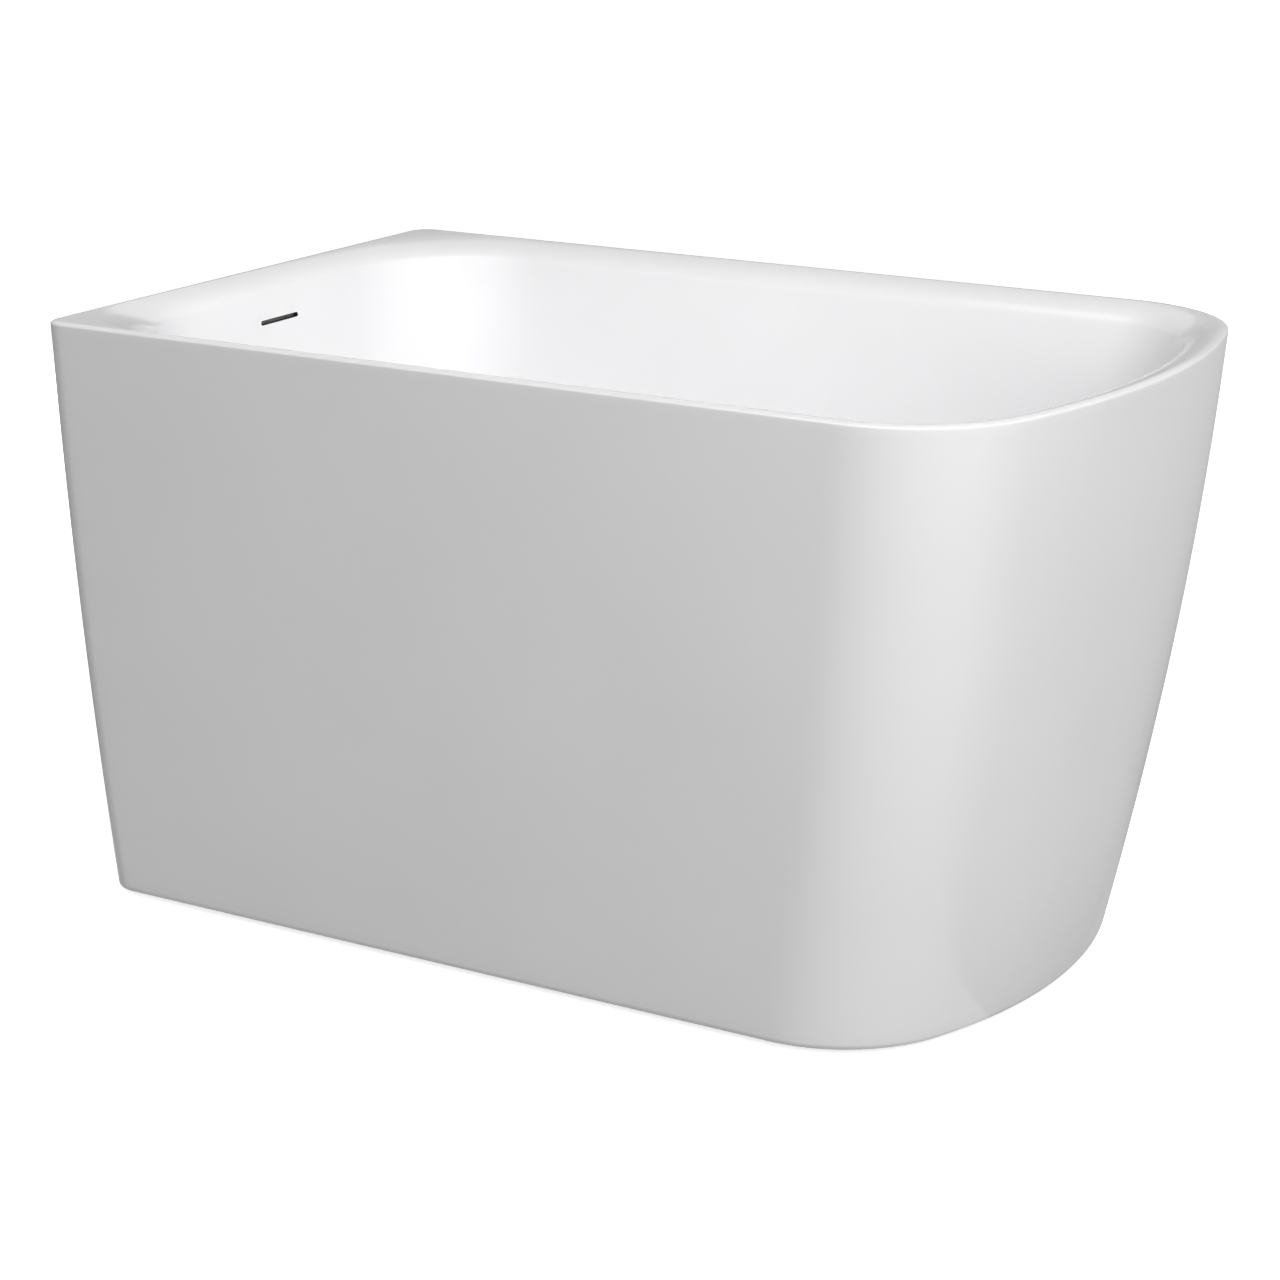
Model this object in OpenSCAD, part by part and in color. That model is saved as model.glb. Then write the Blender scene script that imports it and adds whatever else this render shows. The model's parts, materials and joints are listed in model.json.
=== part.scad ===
// Corner bath: an acrylic basin and a tapering acrylic skirt on a steel frame with levelling feet.
// The origin is on the floor under the middle of the rim: X to the rounded end, Y to the wall behind, Z up.

/* [Rim and skirt] */
// Length over the rim, from the square end to the rounded end
bath_l = 1100; // [1060:10:1200]
// Width over the rim, from the front to the wall behind
bath_w = 680; // [660:10:740]
// Height of the rim above the floor
rim_h = 640; // [625:5:670]
// Gap between the skirt's lower edge and the floor
skirt_gap = 5; // [4:1:8]
// Thickness of the skirt's sheet
skirt_t = 4; // [3:0.5:4.5]
// Width of the flange that is turned in at the skirt's lower edge
skirt_flange_w = 24; // [22:1:40]
// How far the square end of the skirt draws in, from the rim to the floor
taper_square_end = 12; // [8:1:20]
// How far the rounded end of the skirt draws in
taper_round_end = 90; // [70:1:100]
// How far the front and the rear of the skirt draw in
taper_sides = 48; // [40:1:52]
// Share of the taper that is straight; the rest bends in towards the floor
taper_straight = 0.52; // [0.3:0.02:0.8]
// Plan radius of the two square corners
square_corner_r = 26; // [18:1:30]
// Plan radius of the two rounded corners
round_corner_r = 150; // [130:5:160]
// How far the rounded end reaches beyond its straight sides
round_end_reach = 178; // [172:1:190]
// Radius of the rim's outer edge
edge_r = 5; // [4:0.5:5]
// Radius of the skirt's lower edge
lower_edge_r = 8; // [6:1:12]
// Height of the rim's outer band, down to the joint with the skirt
band_h = 12; // [10:1:16]
// Thickness of the rim's outer band
band_t = 5; // [4.5:0.5:5.5]

/* [Basin] */
// Height of the upper edge of the basin's floor above the ground
floor_z = 205; // [200:1:215]
// Fall of the floor towards the drain
floor_fall = 6; // [4:1:8]
// Thickness of the basin's sheet with its backing
basin_t = 6; // [5:0.5:7]
// Width of the flat crest of the rim
crest_w = 4; // [3:0.5:6]
// Radius of the rim's inward roll
roll_r = 40; // [36:1:44]
// Slope at which the roll ends and the lip begins
roll_angle = 53; // [48:1:58]
// Radius of the lip between the roll and the wall
lip_r = 12; // [10:1:14]
// Plan radius of the inside at the lip, in the two square corners
lip_corner_r = 140; // [125:5:155]
// Plan radius of the wall where it meets the floor, in the two square corners
floor_corner_r = 110; // [100:5:120]
// Lean of the wall at the square end
lean_square_end = 7; // [5:0.5:9]
// Lean of the front and rear walls
lean_sides = 9; // [7:0.5:10]
// Lean of the wall at the rounded end
lean_round_end = 21; // [17:1:23]
// Radius between the walls and the floor
floor_fillet_r = 70; // [60:5:75]

/* [Overflow] */
// Length of the overflow slot
slot_l = 67; // [60:1:72]
// Height of the overflow slot
slot_h = 6; // [5:0.5:8]
// Depth of the slot's centre below the rim
slot_drop = 50; // [46:1:56]
// Outer diameter of the hose spigots
spigot_d = 20; // [18:0.5:20]
// Wall of the overflow hose
hose_t = 2.4; // [2:0.1:2.5]
// Radius of the hose's bend at the foot of the drop
hose_bend_r = 80; // [70:5:90]
// Depth of the overflow housing behind the wall
housing_depth = 22; // [20:1:24]

/* [Waste] */
// Distance of the drain from the square end
drain_from_end = 260; // [250:5:280]
// Diameter of the waste flange
flange_d = 70; // [66:1:74]
// Outer diameter of the flange's tail
tail_d = 45; // [43:1:46]
// Diameter of the push plug's cap
plug_d = 60; // [54:1:62]
// Lift of the push plug
plug_lift = 9; // [7:1:12]
// Diameter of the plug's stem
stem_d = 8; // [7:0.5:9]
// Diameter of the union thread below the waste
union_d = 47.8; // [46.8:0.5:48.8]

/* [Trap] */
// Height of the trap's lowest point above the floor
trap_gap = 14; // [12:1:18]
// Outer diameter of the trap's upper body
trap_d = 84; // [80:1:90]
// Wall of the trap's mouldings
trap_t = 3; // [2.5:0.5:3]
// Outer diameter of the discharge pipe that the elbow takes
pipe_d = 40; // [39:0.5:41]
// Length of pipe that the elbow's socket takes
socket_l = 32; // [26:1:34]
// Radius of the elbow's centre line
elbow_r = 32; // [30:1:34]

/* [Frame and feet] */
// Thickness of the board under the basin's floor
board_t = 15; // [12:1:18]
// Width of the square steel tube
tube_w = 30; // [30:1:32]
// Wall of the steel tube
tube_t = 1.5; // [1.5:0.5:2.5]
// Distance of the rails from the rim's long sides
rail_from_side = 210; // [200:5:220]
// Distance of the first cross bar from the square end
bar_from_square_end = 150; // [140:5:160]
// Distance of the last cross bar from the rounded end
bar_from_round_end = 250; // [240:5:280]
// Place of the middle cross bar along the bath
middle_bar_x = -40; // [-60:5:0]
// Distance of the cross bars' ends from the rim's long sides
bar_from_side = 115; // [112:1:120]
// Distance of the outer feet from the rim's long sides
foot_from_side = 170; // [165:5:175]
// Diameter of the feet's threaded studs
stud_d = 12; // [10:1:12]
// Diameter of the feet's pads
pad_d = 56; // [50:1:60]
// Thickness of the skirt brackets
bracket_t = 3; // [2:0.5:3]
// Width of the rim battens
batten_w = 18; // [15:1:20]
// Height of the rim battens
batten_h = 25; // [20:1:30]

/* [Hidden] */
// Clearances: beside a seat, round a piece that turns or slides, round a screw
seat_gap = 0.3;
run_gap = 0.05;
hole_gap = 0.25;
stud_hole_gap = 0.5;
// How far a cutter runs past what it cuts
over = 1;

// Points on the plan: steps of a square corner, a rounded corner and the rounded end
square_steps = 8;
round_steps = 10;
end_steps = 8;
plan_points = 2 * (square_steps + 1) + 2 * (round_steps + 1) + end_steps - 1;

// Heights, from the rim down
joint_z = rim_h - band_h;
bath_depth = rim_h - floor_z;
drain_floor_z = floor_z - floor_fall;
basin_under_z = drain_floor_z - basin_t;
board_under_z = basin_under_z - board_t;
bar_top_z = board_under_z - tube_w;
bar_under_z = bar_top_z - tube_w;
bar_mid_z = bar_under_z + tube_w / 2;
rail_mid_z = bar_top_z + tube_w / 2;
flange_top_z = skirt_gap + skirt_t;

// The rim's section: distance in from the edge, drop below the crest
roll_start = edge_r + crest_w;
lip_in = roll_start + roll_r * sin(roll_angle);
lip_drop = roll_r * (1 - cos(roll_angle));
lip_centre = [lip_in - lip_r * sin(roll_angle), lip_drop + lip_r * cos(roll_angle)];
roll_steps = 6;
lip_steps = 4;
lip_end_angle = 88;
wall_steps = 4;
fillet_steps = 8;
fillet_start_angle = 4;
skirt_steps = 10;
skirt_inner_steps = 5;
flange_corner_r = 14;
edge_steps = 4;

// Plan of the frame
drain_x = drain_from_end - bath_l / 2;
square_bar_x = bar_from_square_end - bath_l / 2;
round_bar_x = bath_l / 2 - bar_from_round_end;
bar_xs = [square_bar_x, middle_bar_x, round_bar_x];
rail_overhang = 15;
rail_left = square_bar_x - tube_w / 2 - rail_overhang;
rail_right = round_bar_x + tube_w / 2 + rail_overhang;
rail_y = bath_w / 2 - rail_from_side;
rail_ys = [-rail_y, rail_y];
foot_y = bath_w / 2 - foot_from_side;
outer_feet = [-foot_y, foot_y];
bar_l = bath_w - 2 * bar_from_side;
cap_t = 2;
cap_plug_l = 12;
cap_plug_t = 2;
board_margin = 4;
board_corner_r = 50;
board_reach = 80;
board_hole_gap = 18;
batten_end_gap = 10;
foot_places = [
    [square_bar_x, -foot_y], [square_bar_x, foot_y],
    [round_bar_x, -foot_y], [round_bar_x, foot_y],
    [middle_bar_x, 0]
];

// Waste levels and radii
recess_depth = 2;
recess_gap = 1;
drain_flat_w = 20;
recess_z = drain_floor_z - recess_depth;
flange_seal_t = 1.5;
flange_t = 2.5;
flange_z = recess_z + flange_seal_t;
flange_face_z = flange_z + flange_t;
lower_seal_t = 4;
seal_inset = 1;
body_top_z = basin_under_z - lower_seal_t;
body_collar_t = 4;
tail_t = 2.5;
tail_bore_r = tail_d / 2 - tail_t;
tail_bevel = 3;
tail_grip = 28;
tail_free_l = 5;
tail_l = flange_z - body_top_z + tail_grip;
tail_end_z = flange_z - tail_l;
flange_edge = 1.5;
flange_hole_gap = 1.5;
flange_hole_r = tail_d / 2 + flange_hole_gap;
spider_h = 4;
spider_w = 3;
hub_r = 10;
body_t = 3;
body_cup_r = 30;
body_cup_h = 40;
body_collar_w = 8;
body_cup_z = body_top_z - body_cup_h;
port_z = board_under_z - tube_w / 2;
port_end = 62;
union_t = 3.4;
union_l = 17;
union_z = body_cup_z - union_l;

// Plug: the stem stays in its guide when the cap is up
guide_r = 7;
guide_collar_w = 2;
guide_collar_h = 4;
guide_drop = 10;
guide_cover = 3;
guide_rise = plug_lift + guide_cover;
plug_under_z = flange_face_z + seat_gap;
plug_hub_inset = 4;
plug_hub_r = tail_bore_r - plug_hub_inset;
plug_hub_l = 6;
plug_seal_h = 4;
plug_seal_drop = 4.5;
stem_end = 5;
stem_l = plug_under_z - tail_end_z + plug_lift + stem_end;

// Overflow levels and radii
spigot_r = spigot_d / 2;
spigot_t = 2;
hose_bore_r = spigot_r + run_gap;
hose_r = hose_bore_r + hose_t;
hose_grip = 18;
hose_sides = 12;
hose_rib_pitch = 6;
hose_rib_h = 1;
hose_bore_steps = 40;
gasket_t = 2;
housing_room = 12;
housing_l = slot_l + 2 * housing_room;
housing_h = 34;
housing_t = 2.5;
housing_flange_w = 5;
housing_flange_t = 3;
gasket_margin = 4;
hose_wall_gap = 2.5;
hose_off_wall = hose_r + hose_wall_gap;
hose_end_gap = 4;
hose_cuff_end = 4;
hose_cuff = hose_grip + hose_cuff_end;
clip_w = 9;
clip_t = 1;
clip_inset = 4;
clip_box = [7, 12];

// Trap levels and radii
washer_t = 2;
collar_t = 3;
collar_gap = 0.5;
nut_lip_t = 3;
collar_w = 2.5;
inlet_r = union_d / 2 - collar_w;
inlet_t = 2.5;
inlet_bore_r = inlet_r - inlet_t;
collar_top_z = union_z - washer_t;
nut_gap = 2;
trap_top_z = collar_top_z - collar_t - nut_lip_t - nut_gap;
trap_r = trap_d / 2;
bowl_r = trap_r + run_gap + trap_t;
bowl_h = 38;
bowl_lap = 14;
bowl_ledge_w = 1;
bowl_top_z = trap_gap + bowl_h;
trap_lower_z = bowl_top_z - bowl_lap;
bowl_seal_t = 2;
dip_gap = 9;
dip_z = trap_gap + trap_t + dip_gap;
dip_clear = 4;
branch_t = 3.8;
branch_bore_gap = 0.2;
branch_bore_r = pipe_d / 2 + branch_bore_gap;
branch_r = branch_bore_r + branch_t;
branch_drop = 1;
branch_z = trap_top_z - branch_r - branch_drop;
branch_l = 20;
branch_end = trap_r + branch_l;
outlet_washer_t = 4;
elbow_t = 2.5;
elbow_bore_r = pipe_d / 2 - elbow_t;
elbow_neck = 13;
elbow_x = drain_x + branch_end + elbow_neck + elbow_r;
socket_gap = 0.15;
socket_r = pipe_d / 2 + socket_gap;
nut_wall = 5;
nut_grips = 12;
nut_grip_r = 1.6;
union_nut_h = 21;
outlet_nut_h = 19;
bowl_grips = 16;
bowl_grip_r = 2;
bowl_grip_h = 20;
bowl_grip_rise = 6;
bowl_grip_z = trap_gap + bowl_grip_rise;

// Foot levels and radii
stud_r = stud_d / 2;
stud_end_bevel = 1;
ball_r = 9;
ball_z = 12;
pad_base_h = 4;
pad_cone_h = 5;
pad_step = 1;
pad_collar_r = 14;
pad_collar_rise = 5;
pad_collar_z = ball_z + pad_collar_rise;
pad_cone_w = 3;
pad_cone_r = pad_collar_r + pad_cone_w;
stud_above_bar = 16;
stud_top_z = bar_top_z + stud_above_bar;
nut_h = 10;
lock_nut_h = 6;
nut_flats = stud_d * 1.5;
hex_rise = 13;
hex_z = ball_z + hex_rise;
hex_h = 8;
hex_over_stud = 2;
hex_flats = stud_d + hex_over_stud;

// Screws and brackets
board_screw_d = 5;
bracket_screw_d = 6;
flange_screw_d = 4;
bracket_w = 30;
bracket_y = bar_l / 2 + cap_t + 2 * seat_gap;
bracket_screw_inset = 19;
bracket_screw_y = bar_l / 2 - bracket_screw_inset;
bracket_inner_margin = 11;
bracket_in_y = bracket_screw_y - bracket_inner_margin;
flange_screw_inset = 8;
flange_screw_y = bath_w / 2 - taper_sides - lower_edge_r - flange_screw_inset;
bracket_outer_margin = 6;
bracket_out_y = flange_screw_y + bracket_outer_margin;
bracket_nut_grip = 5;
flange_screw_gap = 0.5;
screw_in_board = 11;
board_screws_each = 4;
board_screw_inset = 52;
board_screw_xs = [
    for (i = [0:board_screws_each - 1])
        square_bar_x + board_screw_inset
            + (round_bar_x - square_bar_x - 2 * board_screw_inset) * i / (board_screws_each - 1)
];
head_h = 0.6;
head_r = 1.15;

acrylic = "white";
steel = "#9ea3a8";
zinc = "#c9ccd0";
chrome = "#d9dcdf";
plastic = "#f1f1ee";
grey_plastic = "#8d9196";
rubber = "#2b2b2d";
wood = "#c8a878";

$fn = 48;

// Plan curves

function arc(centre, r, from, to, steps) = [
    for (i = [0:steps])
        let (a = from + (to - from) * i / steps)
        [centre.x + r * cos(a), centre.y + r * sin(a)]
];

// The bath's plan, counterclockwise from the front square corner: the rounded end is three tangent arcs
function plan(left, right, half, square_r, round_r, reach) =
    let (
        end_r = (pow(reach, 2) + pow(half - round_r, 2) - pow(round_r, 2)) / (2 * (reach - round_r)),
        turn = atan2(half - round_r, end_r - reach),
        front = concat(
            arc([left + square_r, square_r - half], square_r, 180, 270, square_steps),
            arc([right - reach, round_r - half], round_r, 270, 360 - turn, round_steps)
        ),
        tip = arc([right - end_r, 0], end_r, -turn, turn, end_steps),
        rear = [for (i = [len(front) - 1:-1:0]) [front[i].x, -front[i].y]]
    )
    concat(front, [for (i = [1:end_steps - 1]) tip[i]], rear);

function at_height(points, z) = [for (p = points) [p.x, p.y, z]];

// Share of the full taper at a height: none at the rim's joint, all at the skirt's lower edge
function taper_at(z) =
    let (t = (joint_z - z) / (joint_z - skirt_gap))
    z > joint_z ? 0 : taper_straight * t + (1 - taper_straight) * pow(t, 2);

// The skirt's plan at a height, drawn in by a distance
function skirt_plan(z, inset) =
    let (k = taper_at(z))
    plan(
        taper_square_end * k + inset - bath_l / 2,
        bath_l / 2 - taper_round_end * k - inset,
        bath_w / 2 - taper_sides * k - inset,
        max(flange_corner_r, square_corner_r - inset), round_corner_r - inset, round_end_reach - inset
    );

function skirt_ring(z, inset) = at_height(skirt_plan(z, inset), z);

// Ring of the rim at a distance in from the edge and a drop below the crest
function rim_ring(in, drop, square_r) = at_height(
    plan(
        in - bath_l / 2, bath_l / 2 - in, bath_w / 2 - in,
        square_r, round_corner_r - in, round_end_reach - in
    ),
    rim_h - drop
);

// Plan radius of the roll in a square corner, so that it runs round the corner at an even width
function roll_corner_r(in) = lip_corner_r + lip_in - in;

// Distance in of a wall that leans, at a drop; off is the distance to the sheet's outer face
function wall_line(drop, lean, off) =
    lip_centre.x + lip_r * cos(lean) - off / cos(lean)
    + (drop - lip_centre.y + lip_r * sin(lean)) * tan(lean);

function fillet_centre(lean, off, bottom) =
    let (drop = bottom - floor_fillet_r)
    [wall_line(drop, lean, off) + floor_fillet_r / cos(lean), drop];

// The same with the lip above the wall and the fillet below it
function wall_in(drop, lean, off, bottom) =
    let (c = fillet_centre(lean, off, bottom), r = lip_r - off)
    drop < lip_centre.y - r * sin(lean) ? lip_centre.x + sqrt(max(0, pow(r, 2) - pow(lip_centre.y - drop, 2)))
    : drop < c.y + floor_fillet_r * sin(lean) ? wall_line(drop, lean, off)
    : c.x - sqrt(max(0, pow(floor_fillet_r, 2) - pow(drop - c.y, 2)));

function wall_ring(drop, off, bottom) =
    let (
        side = wall_in(drop, lean_sides, off, bottom),
        down = (drop - lip_drop) / (bath_depth - lip_drop),
        shrink = max(0, side - wall_line(max(drop, lip_centre.y), lean_sides, off)) - off,
        corner_r = lip_corner_r + (floor_corner_r - lip_corner_r) * down
    )
    at_height(
        plan(
            wall_in(drop, lean_square_end, off, bottom) - bath_l / 2,
            bath_l / 2 - wall_in(drop, lean_round_end, off, bottom),
            bath_w / 2 - side,
            corner_r - shrink, round_corner_r - lip_in - shrink, round_end_reach - lip_in - shrink
        ),
        rim_h - drop
    );

function steps_between(a, b, steps) = [for (i = [0:steps]) a + (b - a) * i / steps];

// Drops of the rings from the lip to the floor, on one face of the sheet
function wall_drops(off, bottom) =
    let (
        lip = [
            for (a = steps_between(roll_angle, lip_end_angle, lip_steps))
                lip_centre.y - (lip_r - off) * cos(a)
        ],
        fillet = [
            for (a = steps_between(fillet_start_angle, 90, fillet_steps))
                bottom - floor_fillet_r * (1 - sin(a))
        ],
        wall = steps_between(lip[lip_steps], fillet[0], wall_steps)
    )
    concat(
        [for (i = [1:lip_steps]) lip[i]],
        [for (i = [1:wall_steps - 1]) wall[i]],
        fillet
    );

function backwards(list) = [for (i = [len(list) - 1:-1:0]) list[i]];

// Ring of points round the drain, each in line with a point of the floor's edge
function drain_ring(edge, r, z) = [
    for (p = edge)
        let (d = [p.x - drain_x, p.y])
        [drain_x + r * d.x / norm(d), r * d.y / norm(d), z]
];

// A closed skin over rings of equal length; in a loop the last ring joins the first
function skin_faces(rings, n, loop) = [
    for (i = [0:rings - (loop ? 1 : 2)], j = [0:n - 1])
        let (a = i * n, b = (i + 1) % rings * n, k = (j + 1) % n)
        each [[a + j, a + k, b + k], [a + j, b + k, b + j]]
];

function cap_faces(rings, n) = [
    [for (j = [n - 1:-1:0]) j],
    [for (j = [0:n - 1]) (rings - 1) * n + j]
];

module loft(rings, n, loop) {
    polyhedron(
        points = [for (r = rings) each r],
        faces = concat(skin_faces(len(rings), n, loop), loop ? [] : cap_faces(len(rings), n)),
        convexity = 10
    );
}

// Shell and board

module basin_shell() {
    slot_x = wall_line(slot_drop, lean_square_end, basin_t / 2) - bath_l / 2;
    under = bath_depth + floor_fall + basin_t;
    inner_drops = wall_drops(0, bath_depth);
    outer_drops = wall_drops(basin_t, under);
    floor_edge = wall_ring(bath_depth, 0, bath_depth);
    inner = concat(
        [drain_ring(floor_edge, flange_d / 2 + drain_flat_w, drain_floor_z)],
        [for (d = backwards(inner_drops)) wall_ring(d, 0, bath_depth)]
    );
    roll = [
        for (a = steps_between(roll_angle, 0, roll_steps))
            let (in = roll_start + roll_r * sin(a))
            rim_ring(in, roll_r * (1 - cos(a)), roll_corner_r(in))
    ];
    edge = [
        for (a = steps_between(90, 0, edge_steps))
            let (in = edge_r * (1 - cos(a)))
            rim_ring(in, edge_r * (1 - sin(a)), square_corner_r - in)
    ];
    band = [
        rim_ring(0, band_h, square_corner_r),
        rim_ring(band_t, band_h, square_corner_r - band_t),
        rim_ring(band_t, basin_t, square_corner_r - band_t)
    ];
    roll_under = [
        for (a = steps_between(0, roll_angle, roll_steps))
            let (in = roll_start + (roll_r - basin_t) * sin(a))
            rim_ring(in, roll_r - (roll_r - basin_t) * cos(a), roll_corner_r(in))
    ];
    outer = [for (d = outer_drops) wall_ring(d, basin_t, under)];
    color(acrylic)
    difference() {
        loft(concat(inner, roll, edge, band, roll_under, outer), plan_points, false);
        translate([drain_x, 0, recess_z]) cylinder(h = recess_depth + over, r = flange_d / 2 + recess_gap);
        translate([drain_x, 0, basin_under_z - over]) cylinder(h = basin_t + 2 * over, r = flange_hole_r);
        translate([slot_x, 0, rim_h - slot_drop]) rotate([90, 0, 90])
            linear_extrude(4 * basin_t, center = true) slot_outline(slot_l, slot_h);
    }
}

module slot_outline(length, height) {
    square([length - height, height], center = true);
    for (side = [-1, 1]) translate([side * (length - height) / 2, 0]) circle(d = height);
}

module skirt_shell() {
    heights = steps_between(joint_z, skirt_gap + lower_edge_r, skirt_steps);
    outer = [for (z = heights) skirt_ring(z, 0)];
    turn = [
        for (a = steps_between(0, 90, edge_steps))
            if (a > 0) skirt_ring(skirt_gap + lower_edge_r * (1 - sin(a)), lower_edge_r * (1 - cos(a)))
    ];
    flange = [
        skirt_ring(skirt_gap, skirt_flange_w),
        skirt_ring(flange_top_z, skirt_flange_w),
        skirt_ring(flange_top_z, lower_edge_r)
    ];
    inner = [
        for (z = steps_between(skirt_gap + lower_edge_r, joint_z, skirt_inner_steps)) skirt_ring(z, skirt_t)
    ];
    color(acrylic)
    difference() {
        loft(concat(outer, turn, flange, inner), plan_points, true);
        for (x = bar_xs, side = [-1, 1])
            translate([x, side * flange_screw_y, skirt_gap - over])
            cylinder(h = skirt_t + 2 * over, d = flange_screw_d + 2 * run_gap);
    }
}

// Distance in from the rim's edge to the side of the board, on the flat under the basin
function board_in(lean) = fillet_centre(lean, basin_t, bath_depth + floor_fall + basin_t).x + board_margin;

module base_board() {
    left = board_in(lean_square_end) - bath_l / 2;
    right = bath_l / 2 - board_in(lean_round_end);
    half = bath_w / 2 - board_in(lean_sides);
    color(wood)
    difference() {
        translate([0, 0, board_under_z]) linear_extrude(board_t)
            polygon(plan(left, right, half, board_corner_r, board_corner_r, board_reach));
        translate([drain_x, 0, board_under_z - over])
            cylinder(h = board_t + 2 * over, r = body_cup_r + board_hole_gap);
        for (x = board_screw_xs, y = rail_ys)
            translate([x, y, board_under_z - over])
            cylinder(h = screw_in_board + 2 * over, d = board_screw_d + 2 * run_gap);
    }
}

// A batten lies under the roll, against the skirt
function batten_top(in) = roll_r - (roll_r - basin_t) * cos(asin((in - roll_start) / (roll_r - basin_t)));
function batten_in(taper) = band_t + seat_gap + taper * taper_at(joint_z - batten_h);

module batten(taper, length) {
    in = batten_in(taper);
    top = batten_top(in + batten_w) + seat_gap;
    color(wood)
    translate([-length / 2, in, rim_h - top - batten_h]) cube([length, batten_w, batten_h]);
}

batten_middle_x = (lip_corner_r - round_end_reach) / 2 + lip_in / 2;
batten_side_l = bath_l - lip_corner_r - round_end_reach - lip_in - 2 * batten_end_gap;

module rim_batten_front() {
    translate([batten_middle_x, -bath_w / 2, 0]) batten(taper_sides, batten_side_l);
}

module rim_batten_rear() {
    mirror([0, 1, 0]) rim_batten_front();
}

module rim_batten_end() {
    translate([-bath_l / 2, 0, 0]) rotate([0, 0, -90])
        batten(taper_square_end, bath_w - 2 * (lip_corner_r + lip_in + batten_end_gap));
}

// Frame

module tube_outline(width, r) {
    square([width, width - 2 * r], center = true);
    square([width - 2 * r, width], center = true);
    for (x = [-1, 1], y = [-1, 1]) translate([x, y] * (width / 2 - r)) circle(r);
}

// Square tube along X, centred on the origin
module tube(length) {
    rotate([90, 0, 90]) linear_extrude(length, center = true) difference() {
        tube_outline(tube_w, 2 * tube_t);
        tube_outline(tube_w - 2 * tube_t, tube_t);
    }
}

module rail(y) {
    color(steel)
    difference() {
        translate([(rail_left + rail_right) / 2, y, rail_mid_z]) tube(rail_right - rail_left);
        for (x = board_screw_xs)
            translate([x, y, bar_top_z - over])
            cylinder(h = tube_w + 2 * over, d = board_screw_d + 2 * hole_gap);
    }
}

module frame_rail_front() { rail(rail_ys[0]); }
module frame_rail_rear() { rail(rail_ys[1]); }

module cross_bar(x, feet) {
    color(steel)
    difference() {
        translate([x, 0, bar_mid_z]) rotate([0, 0, 90]) tube(bar_l);
        for (y = feet)
            translate([x, y, bar_under_z - over])
            cylinder(h = tube_w + 2 * over, d = stud_d + 2 * stud_hole_gap);
        for (side = [-1, 1])
            translate([x, side * bracket_screw_y, bar_under_z - over])
            cylinder(h = tube_w / 2, d = bracket_screw_d + 2 * run_gap);
    }
}

module cross_bar_square_end() { cross_bar(square_bar_x, outer_feet); }
module cross_bar_middle() { cross_bar(middle_bar_x, [0]); }
module cross_bar_round_end() { cross_bar(round_bar_x, outer_feet); }

// Plastic cap in a tube's end that faces +X, the tube's end at the origin
module end_cap() {
    plug_w = tube_w - 2 * tube_t - 2 * run_gap;
    rotate([90, 0, 90]) {
        linear_extrude(cap_t) tube_outline(tube_w, 2 * tube_t);
        translate([0, 0, -cap_plug_l]) linear_extrude(cap_plug_l) difference() {
            tube_outline(plug_w, tube_t);
            tube_outline(plug_w - 2 * cap_plug_t, tube_t / 2);
        }
    }
}

module tube_end_caps() {
    color(rubber) {
        for (y = rail_ys) {
            translate([rail_right, y, rail_mid_z]) end_cap();
            translate([rail_left, y, rail_mid_z]) rotate([0, 0, 180]) end_cap();
        }
        for (x = bar_xs, side = [-1, 1])
            translate([x, side * bar_l / 2, bar_mid_z]) rotate([0, 0, side * 90]) end_cap();
    }
}

// Pan head screw that points up, its head's upper face at the origin
module screw(d, length) {
    cylinder(h = length, d = d);
    translate([0, 0, -head_h * d]) rotate_extrude() intersection() {
        translate([0, head_h * d]) circle(r = head_r * d);
        square([d, head_h * d]);
    }
}

module board_screws() {
    color(zinc)
    for (x = board_screw_xs, y = rail_ys)
        translate([x, y, bar_top_z]) screw(board_screw_d, tube_w + screw_in_board);
}

// Folded strap from a cross bar's end down to the skirt's flange
module skirt_bracket(i) {
    x = bar_xs[floor((i - 1) / 2)];
    side = i % 2 == 1 ? -1 : 1;
    section = [
        [bracket_in_y, bar_under_z - bracket_t], [bracket_in_y, bar_under_z],
        [bracket_y + bracket_t, bar_under_z], [bracket_y + bracket_t, flange_top_z + bracket_t],
        [bracket_out_y, flange_top_z + bracket_t], [bracket_out_y, flange_top_z],
        [bracket_y, flange_top_z], [bracket_y, bar_under_z - bracket_t]
    ];
    color(zinc)
    difference() {
        translate([x, 0, 0]) rotate([0, 0, side > 0 ? 0 : 180]) rotate([90, 0, 90])
            linear_extrude(bracket_w, center = true) polygon(section);
        translate([x, side * bracket_screw_y, bar_under_z - bracket_t - over])
            cylinder(h = bracket_t + 2 * over, d = bracket_screw_d + 2 * hole_gap);
        translate([x, side * flange_screw_y, flange_top_z - over])
            cylinder(h = bracket_t + 2 * over, d = flange_screw_d + 2 * hole_gap);
    }
}

module bracket_screws() {
    color(zinc)
    for (x = bar_xs, side = [-1, 1])
        translate([x, side * bracket_screw_y, bar_under_z - bracket_t])
        screw(bracket_screw_d, bracket_t + tube_t + bracket_nut_grip);
}

module flange_screws() {
    color(zinc)
    for (x = bar_xs, side = [-1, 1])
        translate([x, side * flange_screw_y, flange_top_z + bracket_t]) rotate([180, 0, 0])
        screw(flange_screw_d, bracket_t + skirt_t - flange_screw_gap);
}

// Levelling feet

module hex(flats, height) {
    cylinder(h = height, d = flats / cos(30), $fn = 6);
}

module nuts(height, top_z) {
    for (p = foot_places)
        translate([p.x, p.y, top_z - height]) difference() {
            hex(nut_flats, height);
            translate([0, 0, -over]) cylinder(h = height + 2 * over, r = stud_r + run_gap);
        }
}

module weld_nuts() { color(steel) nuts(nut_h, bar_under_z); }
module lock_nuts() { color(zinc) nuts(lock_nut_h, bar_under_z - nut_h); }

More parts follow.
